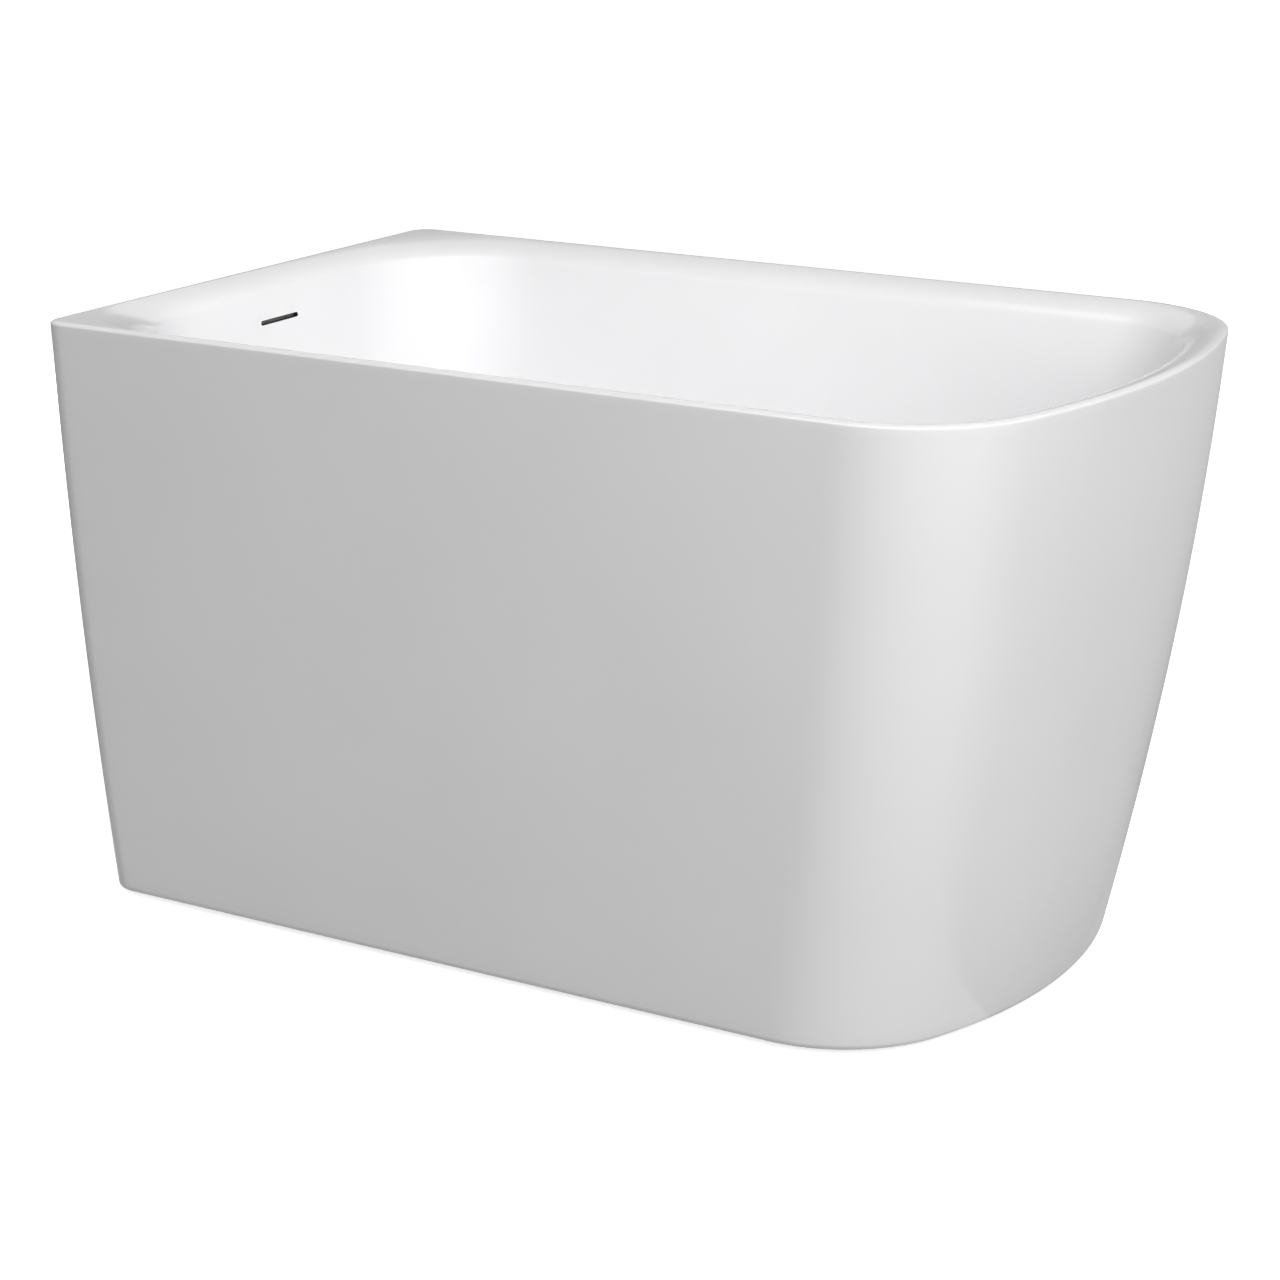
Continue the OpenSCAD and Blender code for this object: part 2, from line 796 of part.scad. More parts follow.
module foot_pad(i) {
    color(rubber)
    translate([foot_places[i - 1].x, foot_places[i - 1].y, 0]) difference() {
        union() {
            cylinder(h = pad_base_h, d = pad_d);
            translate([0, 0, pad_base_h])
                cylinder(h = pad_cone_h, r1 = pad_d / 2 - pad_step, r2 = pad_cone_r);
            cylinder(h = pad_collar_z, r = pad_collar_r);
        }
        translate([0, 0, ball_z]) sphere(r = ball_r + run_gap);
    }
}

module foot_stud(i) {
    color(zinc)
    translate([foot_places[i - 1].x, foot_places[i - 1].y, 0]) {
        translate([0, 0, ball_z]) sphere(r = ball_r);
        translate([0, 0, ball_z]) cylinder(h = hex_z - ball_z, r = stud_r - stud_end_bevel);
        translate([0, 0, hex_z]) hex(hex_flats, hex_h);
        translate([0, 0, hex_z + hex_h])
            cylinder(h = stud_top_z - hex_z - hex_h - stud_end_bevel, r = stud_r);
        translate([0, 0, stud_top_z - stud_end_bevel])
            cylinder(h = stud_end_bevel, r1 = stud_r, r2 = stud_r - stud_end_bevel);
    }
}

// Waste and push plug

module ring(inner, outer, z, height) {
    translate([drain_x, 0, z]) difference() {
        cylinder(h = height, r = outer);
        translate([0, 0, -over]) cylinder(h = height + 2 * over, r = inner);
    }
}

module waste_flange() {
    spoke_l = 2 * tail_bore_r + tail_t;
    color(chrome)
    translate([drain_x, 0, 0]) {
        rotate_extrude() polygon([
            [tail_bore_r, tail_end_z], [tail_d / 2, tail_end_z], [tail_d / 2, flange_z],
            [flange_d / 2, flange_z], [flange_d / 2, flange_face_z - flange_edge],
            [flange_d / 2 - flange_edge, flange_face_z],
            [tail_bore_r + tail_bevel, flange_face_z], [tail_bore_r, flange_face_z - tail_bevel]
        ]);
        translate([0, 0, tail_end_z]) difference() {
            union() {
                cylinder(h = spider_h, r = hub_r);
                for (a = [0:60:120]) rotate([0, 0, a])
                    translate([-spoke_l / 2, -spider_w / 2, 0]) cube([spoke_l, spider_w, spider_h]);
            }
            translate([0, 0, -over]) cylinder(h = spider_h + 2 * over, r = guide_r + run_gap);
        }
    }
}

module waste_flange_seal() {
    color(rubber) ring(flange_hole_r, flange_d / 2 - recess_gap, recess_z, flange_seal_t);
}

module waste_lower_seal() {
    color(rubber) ring(flange_hole_r, body_cup_r + body_collar_w - seal_inset, body_top_z, lower_seal_t);
}

module waste_body() {
    neck_z = tail_end_z + tail_free_l;
    cup_floor_z = body_cup_z + body_t;
    color(plastic)
    translate([drain_x, 0, 0]) difference() {
        union() {
            translate([0, 0, body_top_z - body_collar_t])
                cylinder(h = body_collar_t, r = body_cup_r + body_collar_w);
            translate([0, 0, body_cup_z]) cylinder(h = body_cup_h, r = body_cup_r);
            translate([0, 0, union_z]) cylinder(h = union_l + over, d = union_d);
            translate([-port_end, 0, port_z]) rotate([0, 90, 0]) cylinder(h = port_end, r = spigot_r);
        }
        translate([0, 0, neck_z - over])
            cylinder(h = body_top_z - neck_z + 2 * over, r = tail_d / 2 + run_gap);
        translate([0, 0, cup_floor_z]) cylinder(h = neck_z - cup_floor_z, r = body_cup_r - body_t);
        translate([0, 0, union_z - over]) cylinder(h = neck_z - union_z, d = union_d - 2 * union_t);
        translate([-port_end - over, 0, port_z]) rotate([0, 90, 0])
            cylinder(h = port_end + over, r = spigot_r - spigot_t);
    }
}

module plug_guide() {
    bore_r = stem_d / 2 + run_gap;
    color(plastic) {
        ring(bore_r, guide_r, tail_end_z - guide_drop, guide_drop + spider_h + guide_rise);
        ring(bore_r, guide_r + guide_collar_w, tail_end_z + spider_h, guide_collar_h);
    }
}

module plug_cap() {
    r = plug_d / 2;
    rim_r = 1.5;
    shoulder_h = 2.8;
    crown_h = 1.6;
    crown_steps = 8;
    color(chrome)
    translate([drain_x, 0, plug_under_z]) difference() {
        union() {
            rotate_extrude() polygon(concat(
                [[0, 0], [r - rim_r, 0]],
                arc([r - rim_r, rim_r], rim_r, -60, 60, 6),
                [
                    for (i = [1:crown_steps])
                        let (u = 1 - i / crown_steps)
                        [(r - rim_r / 2) * u, shoulder_h + crown_h * (1 - pow(u, 2))]
                ]
            ));
            translate([0, 0, -plug_hub_l]) cylinder(h = plug_hub_l + over, r = plug_hub_r);
        }
        translate([0, 0, -plug_hub_l - over]) cylinder(h = plug_hub_l + over, r = stem_d / 2 + run_gap);
    }
}

module plug_stem() {
    color(zinc)
    translate([drain_x, 0, plug_under_z - stem_l - seat_gap]) cylinder(h = stem_l, d = stem_d);
}

module plug_seal() {
    color(rubber)
    ring(plug_hub_r + run_gap, tail_bore_r - seat_gap, plug_under_z - plug_seal_drop, plug_seal_h);
}

// Overflow, built in the leaning plane of the end wall: local X points out of the wall, to the bath's end

module on_end_wall() {
    foot = wall_line(slot_drop, lean_square_end, basin_t);
    translate([foot - bath_l / 2, 0, rim_h - slot_drop]) rotate([0, -lean_square_end, 0]) mirror([1, 0, 0])
        children();
}

module overflow_gasket() {
    color(rubber)
    on_end_wall() translate([run_gap, 0, 0]) rotate([90, 0, 90]) linear_extrude(gasket_t) difference() {
        square([housing_l + 2 * housing_flange_w, housing_h], center = true);
        square([slot_l, slot_h] + 2 * gasket_margin * [1, 1], center = true);
    }
}

module overflow_housing() {
    start = run_gap + gasket_t;
    flange_l = housing_l + 2 * housing_flange_w;
    cavity = [housing_depth - housing_t, housing_l - 2 * housing_t, housing_h - 2 * housing_t];
    spigot_l = hose_grip + hose_end_gap;
    color(plastic)
    on_end_wall() difference() {
        union() {
            translate([start, -flange_l / 2, -housing_h / 2]) cube([housing_flange_t, flange_l, housing_h]);
            translate([start, -housing_l / 2, -housing_h / 2]) cube([housing_depth, housing_l, housing_h]);
            translate([hose_off_wall, 0, -housing_h / 2 - spigot_l])
                cylinder(h = spigot_l + over, r = spigot_r);
        }
        translate([start - over, -cavity.y / 2, -cavity.z / 2]) cube(cavity + [over, 0, 0]);
        translate([hose_off_wall, 0, -housing_h / 2 - spigot_l - over])
            cylinder(h = spigot_l + housing_t + 2 * over, r = spigot_r - spigot_t);
    }
}

// The hose runs in the bath's middle plane: down along the wall, round one bend and level to the waste
hose_top = housing_h / 2 + hose_end_gap;
hose_start = [
    wall_line(slot_drop, lean_square_end, basin_t) - bath_l / 2
        - hose_off_wall * cos(lean_square_end) + hose_top * sin(lean_square_end),
    rim_h - slot_drop - hose_off_wall * sin(lean_square_end) - hose_top * cos(lean_square_end)
];
hose_bend_z = port_z + hose_bend_r;
hose_drop = (hose_start[1] - hose_bend_z + hose_bend_r * sin(lean_square_end)) / cos(lean_square_end);
hose_bend_x = hose_start[0] + hose_drop * sin(lean_square_end) + hose_bend_r * cos(lean_square_end);
hose_end_x = drain_x - port_end + hose_grip;

hose_bend_l = hose_bend_r * (90 - lean_square_end) * PI / 180;
hose_l = hose_drop + hose_bend_l + hose_end_x - hose_bend_x;

// Place and direction along the hose: x, z, and how far it has turned from straight down
function hose_at(s) =
    let (turned = lean_square_end + (s - hose_drop) / hose_bend_r * 180 / PI)
    s < hose_drop ? [
        hose_start[0] + s * sin(lean_square_end), hose_start[1] - s * cos(lean_square_end), lean_square_end
    ]
    : s < hose_drop + hose_bend_l ? [
        hose_bend_x - hose_bend_r * cos(turned), hose_bend_z - hose_bend_r * sin(turned), turned
    ]
    : [hose_bend_x + s - hose_drop - hose_bend_l, port_z, 90];

function hose_ring(s, r) =
    let (p = hose_at(s))
    [
        for (j = [0:hose_sides - 1])
            let (a = 360 * j / hose_sides, out = r * cos(a))
            [p[0] + out * cos(p[2]), r * sin(a), p[1] + out * sin(p[2])]
    ];

// Corrugated between plain cuffs, with a smooth bore
module overflow_hose() {
    ribs = floor((hose_l - 2 * hose_cuff) / hose_rib_pitch);
    pitch = (hose_l - 2 * hose_cuff) / ribs;
    outer = concat(
        [hose_ring(0, hose_r), hose_ring(hose_cuff, hose_r)],
        [
            for (i = [0:ribs - 1]) each [
                hose_ring(hose_cuff + pitch * (i + 0.25), hose_r - hose_rib_h),
                hose_ring(hose_cuff + pitch * (i + 0.75), hose_r)
            ]
        ],
        [hose_ring(hose_l - hose_cuff + pitch * 0.25, hose_r), hose_ring(hose_l, hose_r)]
    );
    bore = [
        for (s = steps_between(hose_l, 0, hose_bore_steps))
            hose_ring(s, hose_bore_r / cos(180 / hose_sides))
    ];
    color(grey_plastic) loft(concat(outer, bore), hose_sides, true);
}

// Worm drive clip round the origin, its band along Z
module hose_clip() {
    band_r = hose_r + run_gap;
    difference() {
        union() {
            cylinder(h = clip_w, r = band_r + clip_t);
            translate([band_r - over, -clip_box.y / 2, 0]) cube([clip_box.x, clip_box.y, clip_w]);
        }
        translate([0, 0, -over]) cylinder(h = clip_w + 2 * over, r = band_r);
    }
}

module hose_clip_upper() {
    color(zinc)
    translate([hose_start[0], 0, hose_start[1]]) rotate([0, 180 - lean_square_end, 0])
        translate([0, 0, clip_inset]) rotate([0, 0, 90]) hose_clip();
}

module hose_clip_lower() {
    color(zinc)
    translate([hose_end_x - clip_w - clip_inset, 0, port_z]) rotate([0, 90, 0])
        rotate([0, 0, 90]) hose_clip();
}

// Trap and outlet

// Knurled nut with its bore wide over the thread and narrow at its lip, which lies at the origin
module union_nut(thread_r, neck_r, height) {
    outer = thread_r + nut_wall;
    difference() {
        union() {
            cylinder(h = height, r = outer);
            for (i = [1:nut_grips]) rotate([0, 0, 360 * i / nut_grips]) translate([outer, 0, 0])
                cylinder(h = height, r = nut_grip_r, $fn = 16);
        }
        translate([0, 0, -over]) cylinder(h = height + 2 * over, r = neck_r);
        translate([0, 0, nut_lip_t]) cylinder(h = height, r = thread_r);
    }
}

module trap_union_nut() {
    color(plastic)
    translate([drain_x, 0, collar_top_z - collar_t - nut_lip_t - run_gap])
        union_nut(union_d / 2 + run_gap, inlet_r + hole_gap, union_nut_h);
}

module trap_washer() {
    color(rubber) ring(inlet_bore_r, union_d / 2 - collar_gap, collar_top_z, washer_t);
}

module trap_body() {
    color(plastic)
    translate([drain_x, 0, 0]) difference() {
        union() {
            translate([0, 0, trap_lower_z]) cylinder(h = trap_top_z - trap_lower_z, r = trap_r);
            translate([0, 0, collar_top_z - collar_t]) cylinder(h = collar_t, r = union_d / 2 - collar_gap);
            translate([0, 0, dip_z]) cylinder(h = collar_top_z - dip_z, r = inlet_r);
            translate([0, 0, branch_z]) rotate([0, 90, 0]) cylinder(h = branch_end, r = branch_r);
        }
        difference() {
            translate([0, 0, trap_lower_z - over])
                cylinder(h = trap_top_z - trap_t - trap_lower_z + over, r = trap_r - trap_t);
            translate([0, 0, dip_z - over]) cylinder(h = trap_top_z - dip_z, r = inlet_r);
        }
        translate([0, 0, dip_z - over]) cylinder(h = collar_top_z - dip_z + 2 * over, r = inlet_bore_r);
        translate([inlet_r + dip_clear, 0, branch_z]) rotate([0, 90, 0])
            cylinder(h = branch_end, r = branch_bore_r);
    }
}

module trap_bowl() {
    color(plastic)
    translate([drain_x, 0, 0]) difference() {
        union() {
            translate([0, 0, trap_gap]) cylinder(h = bowl_h, r = bowl_r);
            for (i = [1:bowl_grips]) rotate([0, 0, 360 * i / bowl_grips]) translate([bowl_r, 0, bowl_grip_z])
                cylinder(h = bowl_grip_h, r = bowl_grip_r, $fn = 16);
        }
        translate([0, 0, trap_lower_z - bowl_seal_t]) cylinder(h = bowl_h, r = trap_r + run_gap);
        translate([0, 0, trap_gap + trap_t]) cylinder(h = bowl_h, r = trap_r - trap_t - bowl_ledge_w);
    }
}

module trap_bowl_seal() {
    color(rubber) ring(trap_r - trap_t, trap_r - run_gap, trap_lower_z - bowl_seal_t, bowl_seal_t);
}

module outlet_nut() {
    color(plastic)
    translate([drain_x + branch_end + outlet_washer_t + nut_lip_t + run_gap, 0, branch_z]) rotate([0, -90, 0])
        union_nut(branch_r + run_gap, pipe_d / 2 + hole_gap, outlet_nut_h);
}

module outlet_washer() {
    color(rubber)
    translate([drain_x + branch_end, 0, branch_z]) rotate([0, 90, 0]) difference() {
        cylinder(h = outlet_washer_t, r = branch_r - collar_gap);
        translate([0, 0, -over]) cylinder(h = outlet_washer_t + 2 * over, r = pipe_d / 2 + run_gap);
    }
}

module outlet_elbow() {
    bend_x = elbow_x - elbow_r;
    bend_z = branch_z - elbow_r;
    start_x = drain_x + trap_r;
    color(plastic)
    difference() {
        union() {
            translate([start_x, 0, branch_z]) rotate([0, 90, 0]) cylinder(h = bend_x - start_x, d = pipe_d);
            translate([bend_x, 0, bend_z]) rotate([90, 0, 0]) rotate_extrude(angle = 90)
                translate([elbow_r, 0]) circle(d = pipe_d);
            translate([elbow_x, 0, trap_gap]) cylinder(h = bend_z - trap_gap, r = socket_r + branch_t);
        }
        translate([start_x - over, 0, branch_z]) rotate([0, 90, 0])
            cylinder(h = bend_x - start_x + over, r = elbow_bore_r);
        translate([bend_x, 0, bend_z]) rotate([90, 0, 0]) rotate_extrude(angle = 90)
            translate([elbow_r, 0]) circle(r = elbow_bore_r);
        translate([elbow_x, 0, trap_gap]) cylinder(h = bend_z - trap_gap, r = elbow_bore_r);
        translate([elbow_x, 0, trap_gap - over]) cylinder(h = socket_l + over, r = socket_r);
    }
}

basin_shell();
skirt_shell();
base_board();
rim_batten_front();
rim_batten_rear();
rim_batten_end();
frame_rail_front();
frame_rail_rear();
cross_bar_square_end();
cross_bar_middle();
cross_bar_round_end();
tube_end_caps();
board_screws();
skirt_bracket(1);  // skirt_bracket_1
skirt_bracket(2);  // skirt_bracket_2
skirt_bracket(3);  // skirt_bracket_3
skirt_bracket(4);  // skirt_bracket_4
skirt_bracket(5);  // skirt_bracket_5
skirt_bracket(6);  // skirt_bracket_6
bracket_screws();
flange_screws();
weld_nuts();
lock_nuts();
foot_pad(1);  // foot_pad_1
foot_pad(2);  // foot_pad_2
foot_pad(3);  // foot_pad_3
foot_pad(4);  // foot_pad_4
foot_pad(5);  // foot_pad_5
foot_stud(1);  // foot_stud_1
foot_stud(2);  // foot_stud_2
foot_stud(3);  // foot_stud_3
foot_stud(4);  // foot_stud_4
foot_stud(5);  // foot_stud_5
waste_flange();
waste_flange_seal();
waste_lower_seal();
waste_body();
plug_guide();
plug_cap();
plug_stem();
plug_seal();
overflow_gasket();
overflow_housing();
overflow_hose();
hose_clip_upper();
hose_clip_lower();
trap_union_nut();
trap_washer();
trap_body();
trap_bowl();
trap_bowl_seal();
outlet_nut();
outlet_washer();
outlet_elbow();
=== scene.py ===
# A white acrylic bath for a corner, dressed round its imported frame
import json
import math

import bmesh
import bpy
from mathutils import Matrix, Vector


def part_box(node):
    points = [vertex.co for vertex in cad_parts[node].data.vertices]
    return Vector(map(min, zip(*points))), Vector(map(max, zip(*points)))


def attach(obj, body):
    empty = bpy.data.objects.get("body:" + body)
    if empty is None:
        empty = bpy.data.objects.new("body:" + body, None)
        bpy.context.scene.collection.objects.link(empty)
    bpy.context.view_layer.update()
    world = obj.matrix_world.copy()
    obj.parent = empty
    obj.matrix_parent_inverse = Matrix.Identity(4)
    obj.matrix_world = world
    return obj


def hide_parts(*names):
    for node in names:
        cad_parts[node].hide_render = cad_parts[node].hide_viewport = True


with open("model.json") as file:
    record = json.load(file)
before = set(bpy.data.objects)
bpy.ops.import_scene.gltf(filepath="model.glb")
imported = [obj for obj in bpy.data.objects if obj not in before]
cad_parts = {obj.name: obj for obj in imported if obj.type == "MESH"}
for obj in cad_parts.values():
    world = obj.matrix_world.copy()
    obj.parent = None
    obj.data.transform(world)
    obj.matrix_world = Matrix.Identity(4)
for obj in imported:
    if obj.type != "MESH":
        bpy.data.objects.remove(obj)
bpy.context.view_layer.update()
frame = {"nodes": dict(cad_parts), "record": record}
mm = 0.001
weld = 0.01 * mm  # points closer than this are merged
basinLow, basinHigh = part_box("basin_shell")
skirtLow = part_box("skirt_shell")[0]


def srgb(code):  # "#rrggbb" as the linear colour that a shader takes
    parts = [int(code[i:i + 2], 16) / 255 for i in (1, 3, 5)]
    return [c / 12.92 if c <= 0.04045 else ((c + 0.055) / 1.055) ** 2.4 for c in parts] + [1.0]


def setInputs(tree, node, values):  # a value that is a socket is linked, any other is set
    for key, value in values.items():
        if isinstance(value, bpy.types.NodeSocket):
            tree.links.new(value, node.inputs[key])
        else:
            node.inputs[key].default_value = value


def addNode(tree, kind, values, stops=(), **settings):  # stops: a colour ramp's (position, colour) pairs
    made = tree.nodes.new(kind)
    for key, value in settings.items():
        setattr(made, key, value)
    for i, (at, colour) in enumerate(stops):
        stop = made.color_ramp.elements[i] if i < 2 else made.color_ramp.elements.new(at)
        stop.position = at
        stop.color = srgb(colour)
    setInputs(tree, made, values)
    return made.outputs


def newMaterial(name):
    made = bpy.data.materials.new(name)
    made.use_nodes = True
    tree = made.node_tree
    place = addNode(tree, "ShaderNodeTexCoord", {})["Object"]
    return made, tree, tree.nodes["Principled BSDF"], place


# Materials, each from a real surface

print("materials")


def castAcrylic():  # vacuum formed and polished: a deep gloss with a faint pull, 200 mm long, from the mould
    made, tree, shader, place = newMaterial("castAcrylic")
    pull = addNode(tree, "ShaderNodeTexNoise", {"Vector": place, "Scale": 5.0, "Detail": 2.0})["Fac"]
    haze = addNode(tree, "ShaderNodeTexNoise", {"Vector": place, "Scale": 60.0, "Detail": 4.0})["Fac"]
    tint = addNode(tree, "ShaderNodeValToRGB", {"Fac": pull}, stops=[(0.3, "#f0f0f1"), (0.7, "#f3f3f4")])
    rough = addNode(tree, "ShaderNodeMapRange", {"Value": haze, "To Min": 0.09, "To Max": 0.15})
    bump = addNode(tree, "ShaderNodeBump", {"Height": pull, "Strength": 0.25, "Distance": 0.5 * mm})
    setInputs(tree, shader, {
        "Base Color": tint["Color"], "Roughness": rough["Result"], "IOR": 1.49, "Normal": bump["Normal"],
    })
    return made


def glassFibreLaminate():  # chopped strands rolled into resin: matt, tangled every 6 mm, a little yellow
    made, tree, shader, place = newMaterial("glassFibreLaminate")
    cells = {"Vector": place, "Scale": 160.0}
    strands = addNode(tree, "ShaderNodeTexVoronoi", cells, feature="DISTANCE_TO_EDGE")["Distance"]
    clouds = addNode(tree, "ShaderNodeTexNoise", {"Vector": place, "Scale": 14.0, "Detail": 5.0})["Fac"]
    tint = addNode(tree, "ShaderNodeValToRGB", {"Fac": clouds}, stops=[(0.3, "#cfc9b4"), (0.7, "#e2ddcc")])
    bump = addNode(tree, "ShaderNodeBump", {"Height": strands, "Distance": 0.6 * mm})
    setInputs(tree, shader, {
        "Base Color": tint["Color"], "Roughness": 0.62, "Normal": bump["Normal"],
    })
    return made


def particleBoard():  # pressed chips, sanded: blotches of straw and brown with torn edges, 2 to 6 mm long
    made, tree, shader, place = newMaterial("particleBoard")
    torn = addNode(tree, "ShaderNodeTexNoise", {"Vector": place, "Scale": 420.0, "Detail": 3.0})["Color"]
    frayed = addNode(tree, "ShaderNodeMix", {"Factor": 0.0035, 4: place, 5: torn}, data_type="VECTOR")[1]
    chips = addNode(tree, "ShaderNodeTexVoronoi", {"Vector": frayed, "Scale": 230.0, "Randomness": 1.0})
    dust = addNode(tree, "ShaderNodeTexNoise", {"Vector": place, "Scale": 900.0, "Detail": 2.0})["Fac"]
    tone = addNode(tree, "ShaderNodeSeparateColor", {"Color": chips["Color"]})["Red"]
    stops = [(0.0, "#9c7a4c"), (0.5, "#c2a06c"), (1.0, "#dcc294")]
    tint = addNode(tree, "ShaderNodeValToRGB", {"Fac": tone}, stops=stops)
    bump = addNode(tree, "ShaderNodeBump", {"Height": dust, "Distance": 0.15 * mm})
    setInputs(tree, shader, {
        "Base Color": tint["Color"], "Roughness": 0.78, "Normal": bump["Normal"],
    })
    return made


def sawnSoftwood():  # rough sawn batten: growth rings 4 mm apart run along it, and the saw left it rough
    made, tree, shader, place = newMaterial("sawnSoftwood")
    across = addNode(tree, "ShaderNodeMapping", {"Vector": place, "Scale": (8.0, 8.0, 250.0)})["Vector"]
    growth = {"Vector": across, "Scale": 1.0, "Detail": 3.0, "Distortion": 0.4}
    rings = addNode(tree, "ShaderNodeTexNoise", growth)["Fac"]
    saw = addNode(tree, "ShaderNodeTexNoise", {"Vector": place, "Scale": 700.0, "Detail": 1.0})["Fac"]
    tint = addNode(tree, "ShaderNodeValToRGB", {"Fac": rings}, stops=[(0.35, "#b98d57"), (0.6, "#d9b983")])
    bump = addNode(tree, "ShaderNodeBump", {"Height": saw, "Distance": 0.2 * mm})
    setInputs(tree, shader, {
        "Base Color": tint["Color"], "Roughness": 0.72, "Normal": bump["Normal"],
    })
    return made


def powderCoatedSteel():  # grey polyester powder: an orange peel of about 1.5 mm, half gloss
    made, tree, shader, place = newMaterial("powderCoatedSteel")
    peel = addNode(tree, "ShaderNodeTexNoise", {"Vector": place, "Scale": 650.0, "Detail": 1.0})["Fac"]
    wear = addNode(tree, "ShaderNodeTexNoise", {"Vector": place, "Scale": 12.0, "Detail": 4.0})["Fac"]
    tint = addNode(tree, "ShaderNodeValToRGB", {"Fac": wear}, stops=[(0.35, "#73777b"), (0.65, "#7f8387")])
    rough = addNode(tree, "ShaderNodeMapRange", {"Value": wear, "To Min": 0.38, "To Max": 0.5})
    bump = addNode(tree, "ShaderNodeBump", {"Height": peel, "Distance": 0.05 * mm})
    setInputs(tree, shader, {
        "Base Color": tint["Color"], "Roughness": rough["Result"], "Normal": bump["Normal"],
    })
    return made


def zincPlatedSteel():  # bright passivated zinc: cool grey with a faint cloud of blue and straw
    made, tree, shader, place = newMaterial("zincPlatedSteel")
    cloud = addNode(tree, "ShaderNodeTexNoise", {"Vector": place, "Scale": 70.0, "Detail": 3.0})["Fac"]
    stops = [(0.3, "#b9bec6"), (0.5, "#c8cacb"), (0.7, "#cfcabd")]
    tint = addNode(tree, "ShaderNodeValToRGB", {"Fac": cloud}, stops=stops)
    rough = addNode(tree, "ShaderNodeMapRange", {"Value": cloud, "To Min": 0.26, "To Max": 0.38})
    setInputs(tree, shader, {
        "Base Color": tint["Color"], "Roughness": rough["Result"], "Metallic": 1.0,
    })
    return made


def polishedChrome():  # chrome over brass: a mirror with a trace of wiped water marks
    made, tree, shader, place = newMaterial("polishedChrome")
    wiped = addNode(tree, "ShaderNodeTexNoise", {"Vector": place, "Scale": 90.0, "Detail": 4.0})["Fac"]
    tint = addNode(tree, "ShaderNodeValToRGB", {"Fac": wiped}, stops=[(0.3, "#d4d7da"), (0.7, "#dfe1e3")])
    rough = addNode(tree, "ShaderNodeMapRange", {"Value": wiped, "To Min": 0.04, "To Max": 0.09})
    setInputs(tree, shader, {
        "Base Color": tint["Color"], "Roughness": rough["Result"], "Metallic": 1.0,
    })
    return made


# From a spark eroded mould: a soft sheen, and a grain drawn at 0.8 mm, coarser than the real one, to show
def moulded(name, dark, light, smooth, dull, grain):
    made, tree, shader, place = newMaterial(name)
    spark = addNode(tree, "ShaderNodeTexNoise", {"Vector": place, "Scale": 1200.0, "Detail": 1.0})["Fac"]
    flow = addNode(tree, "ShaderNodeTexNoise", {"Vector": place, "Scale": 22.0, "Detail": 2.0})["Fac"]
    tint = addNode(tree, "ShaderNodeValToRGB", {"Fac": flow}, stops=[(0.35, dark), (0.65, light)])
    rough = addNode(tree, "ShaderNodeMapRange", {"Value": flow, "To Min": smooth, "To Max": dull})
    bump = addNode(tree, "ShaderNodeBump", {"Height": spark, "Distance": grain * mm})
    setInputs(tree, shader, {
        "Base Color": tint["Color"], "Roughness": rough["Result"], "Normal": bump["Normal"],
    })
    return made


finishes = {
    "acrylic": castAcrylic(),
    "laminate": glassFibreLaminate(),
    "board": particleBoard(),
    "batten": sawnSoftwood(),
    "frame_steel": powderCoatedSteel(),
    "zinc": zincPlatedSteel(),
    "chrome": polishedChrome(),
    "white_plastic": moulded("mouldedPolypropylene", "#e9e9e4", "#f1f1ec", 0.34, 0.42, 0.03),
    "grey_plastic": moulded("corrugatedPolyethylene", "#878b90", "#92969b", 0.42, 0.5, 0.04),
    "black_plastic": moulded("mouldedNylon", "#1d1d1f", "#262628", 0.46, 0.54, 0.05),
    "rubber": moulded("mouldedRubber", "#19191a", "#222223", 0.68, 0.76, 0.08),
}
finishes["skirt_acrylic"] = finishes["acrylic"]

for part in frame["record"]["subparts"]:
    node = frame["nodes"][part["node"]]
    node.data.materials.clear()
    node.data.materials.append(finishes[part["material_slot"]])


# The bath's sizes in millimetres and degrees. In plan its rounded end is three tangent arcs

plan = {
    "length": (basinHigh.x - basinLow.x) / mm, "width": (basinHigh.y - basinLow.y) / mm,
    "rim": basinHigh.z / mm,
    "squareR": 26, "roundR": 150, "reach": 178,
    "squareSteps": 12, "roundSteps": 26, "endSteps": 26,
    "sideSteps": (0.01, 0.04, 0.12, 0.28, 0.72, 0.88, 0.96, 0.99),  # shares; the slot lies in the middle
}
rim = {
    "edgeIn": 8, "edgeDrop": 3, "crest": 1, "rollR": 40, "rollAngle": 53, "lipR": 12,
    "bandHeight": 12, "bandT": 5,
    "deckCornerR": 115, "rollSlope": 8,  # the deck's inner edge: its corners, and the slope it breaks to
    "edgeSteps": 12, "rollSteps": 20, "bandSteps": 3, "backSteps": 10,
}
basin = {
    "depth": 435, "fall": 6, "sheet": 6, "lipCornerR": 140, "floorCornerR": 110, "filletR": 70,
    "squareLean": 7, "sideLean": 9, "roundLean": 21, "lipTo": 88, "filletFrom": 3,
    "innerSteps": (10, 12, 18), "backSteps": (6, 8, 12),  # for the lip, the wall and the fillet
    "drainFromEnd": 260, "holeR": 24, "recessR": 36, "recess": 2, "recessFillet": 0.5, "flatR": 55,
    "recessEdge": ((0, 0.8), (0.3, 0.2), (1, 0)),  # out of and down from the recess's rim
    "evenings": 24, "floorRings": 14,
    "slotLength": 67, "slotHeight": 5, "slotDrop": 50, "slotClear": 12, "slotSteps": 12, "slotSharp": 30,
    "slotCut": ((-12, 0), (-0.4, 0), (-0.2, 0.24), (4, 1.2)),  # how far out of the wall's face, and wider
}
skirt = {
    "gap": skirtLow.z / mm, "sheet": 4, "flange": 24, "flangeCornerR": 14, "lowerR": 8,
    "taperDrop": 5, "squareTaper": 12, "roundTaper": 90, "sideTaper": 48, "straight": 0.52,
    "wallSteps": 44, "lowerSteps": 10, "backSteps": 12, "backLowerSteps": 4,
}


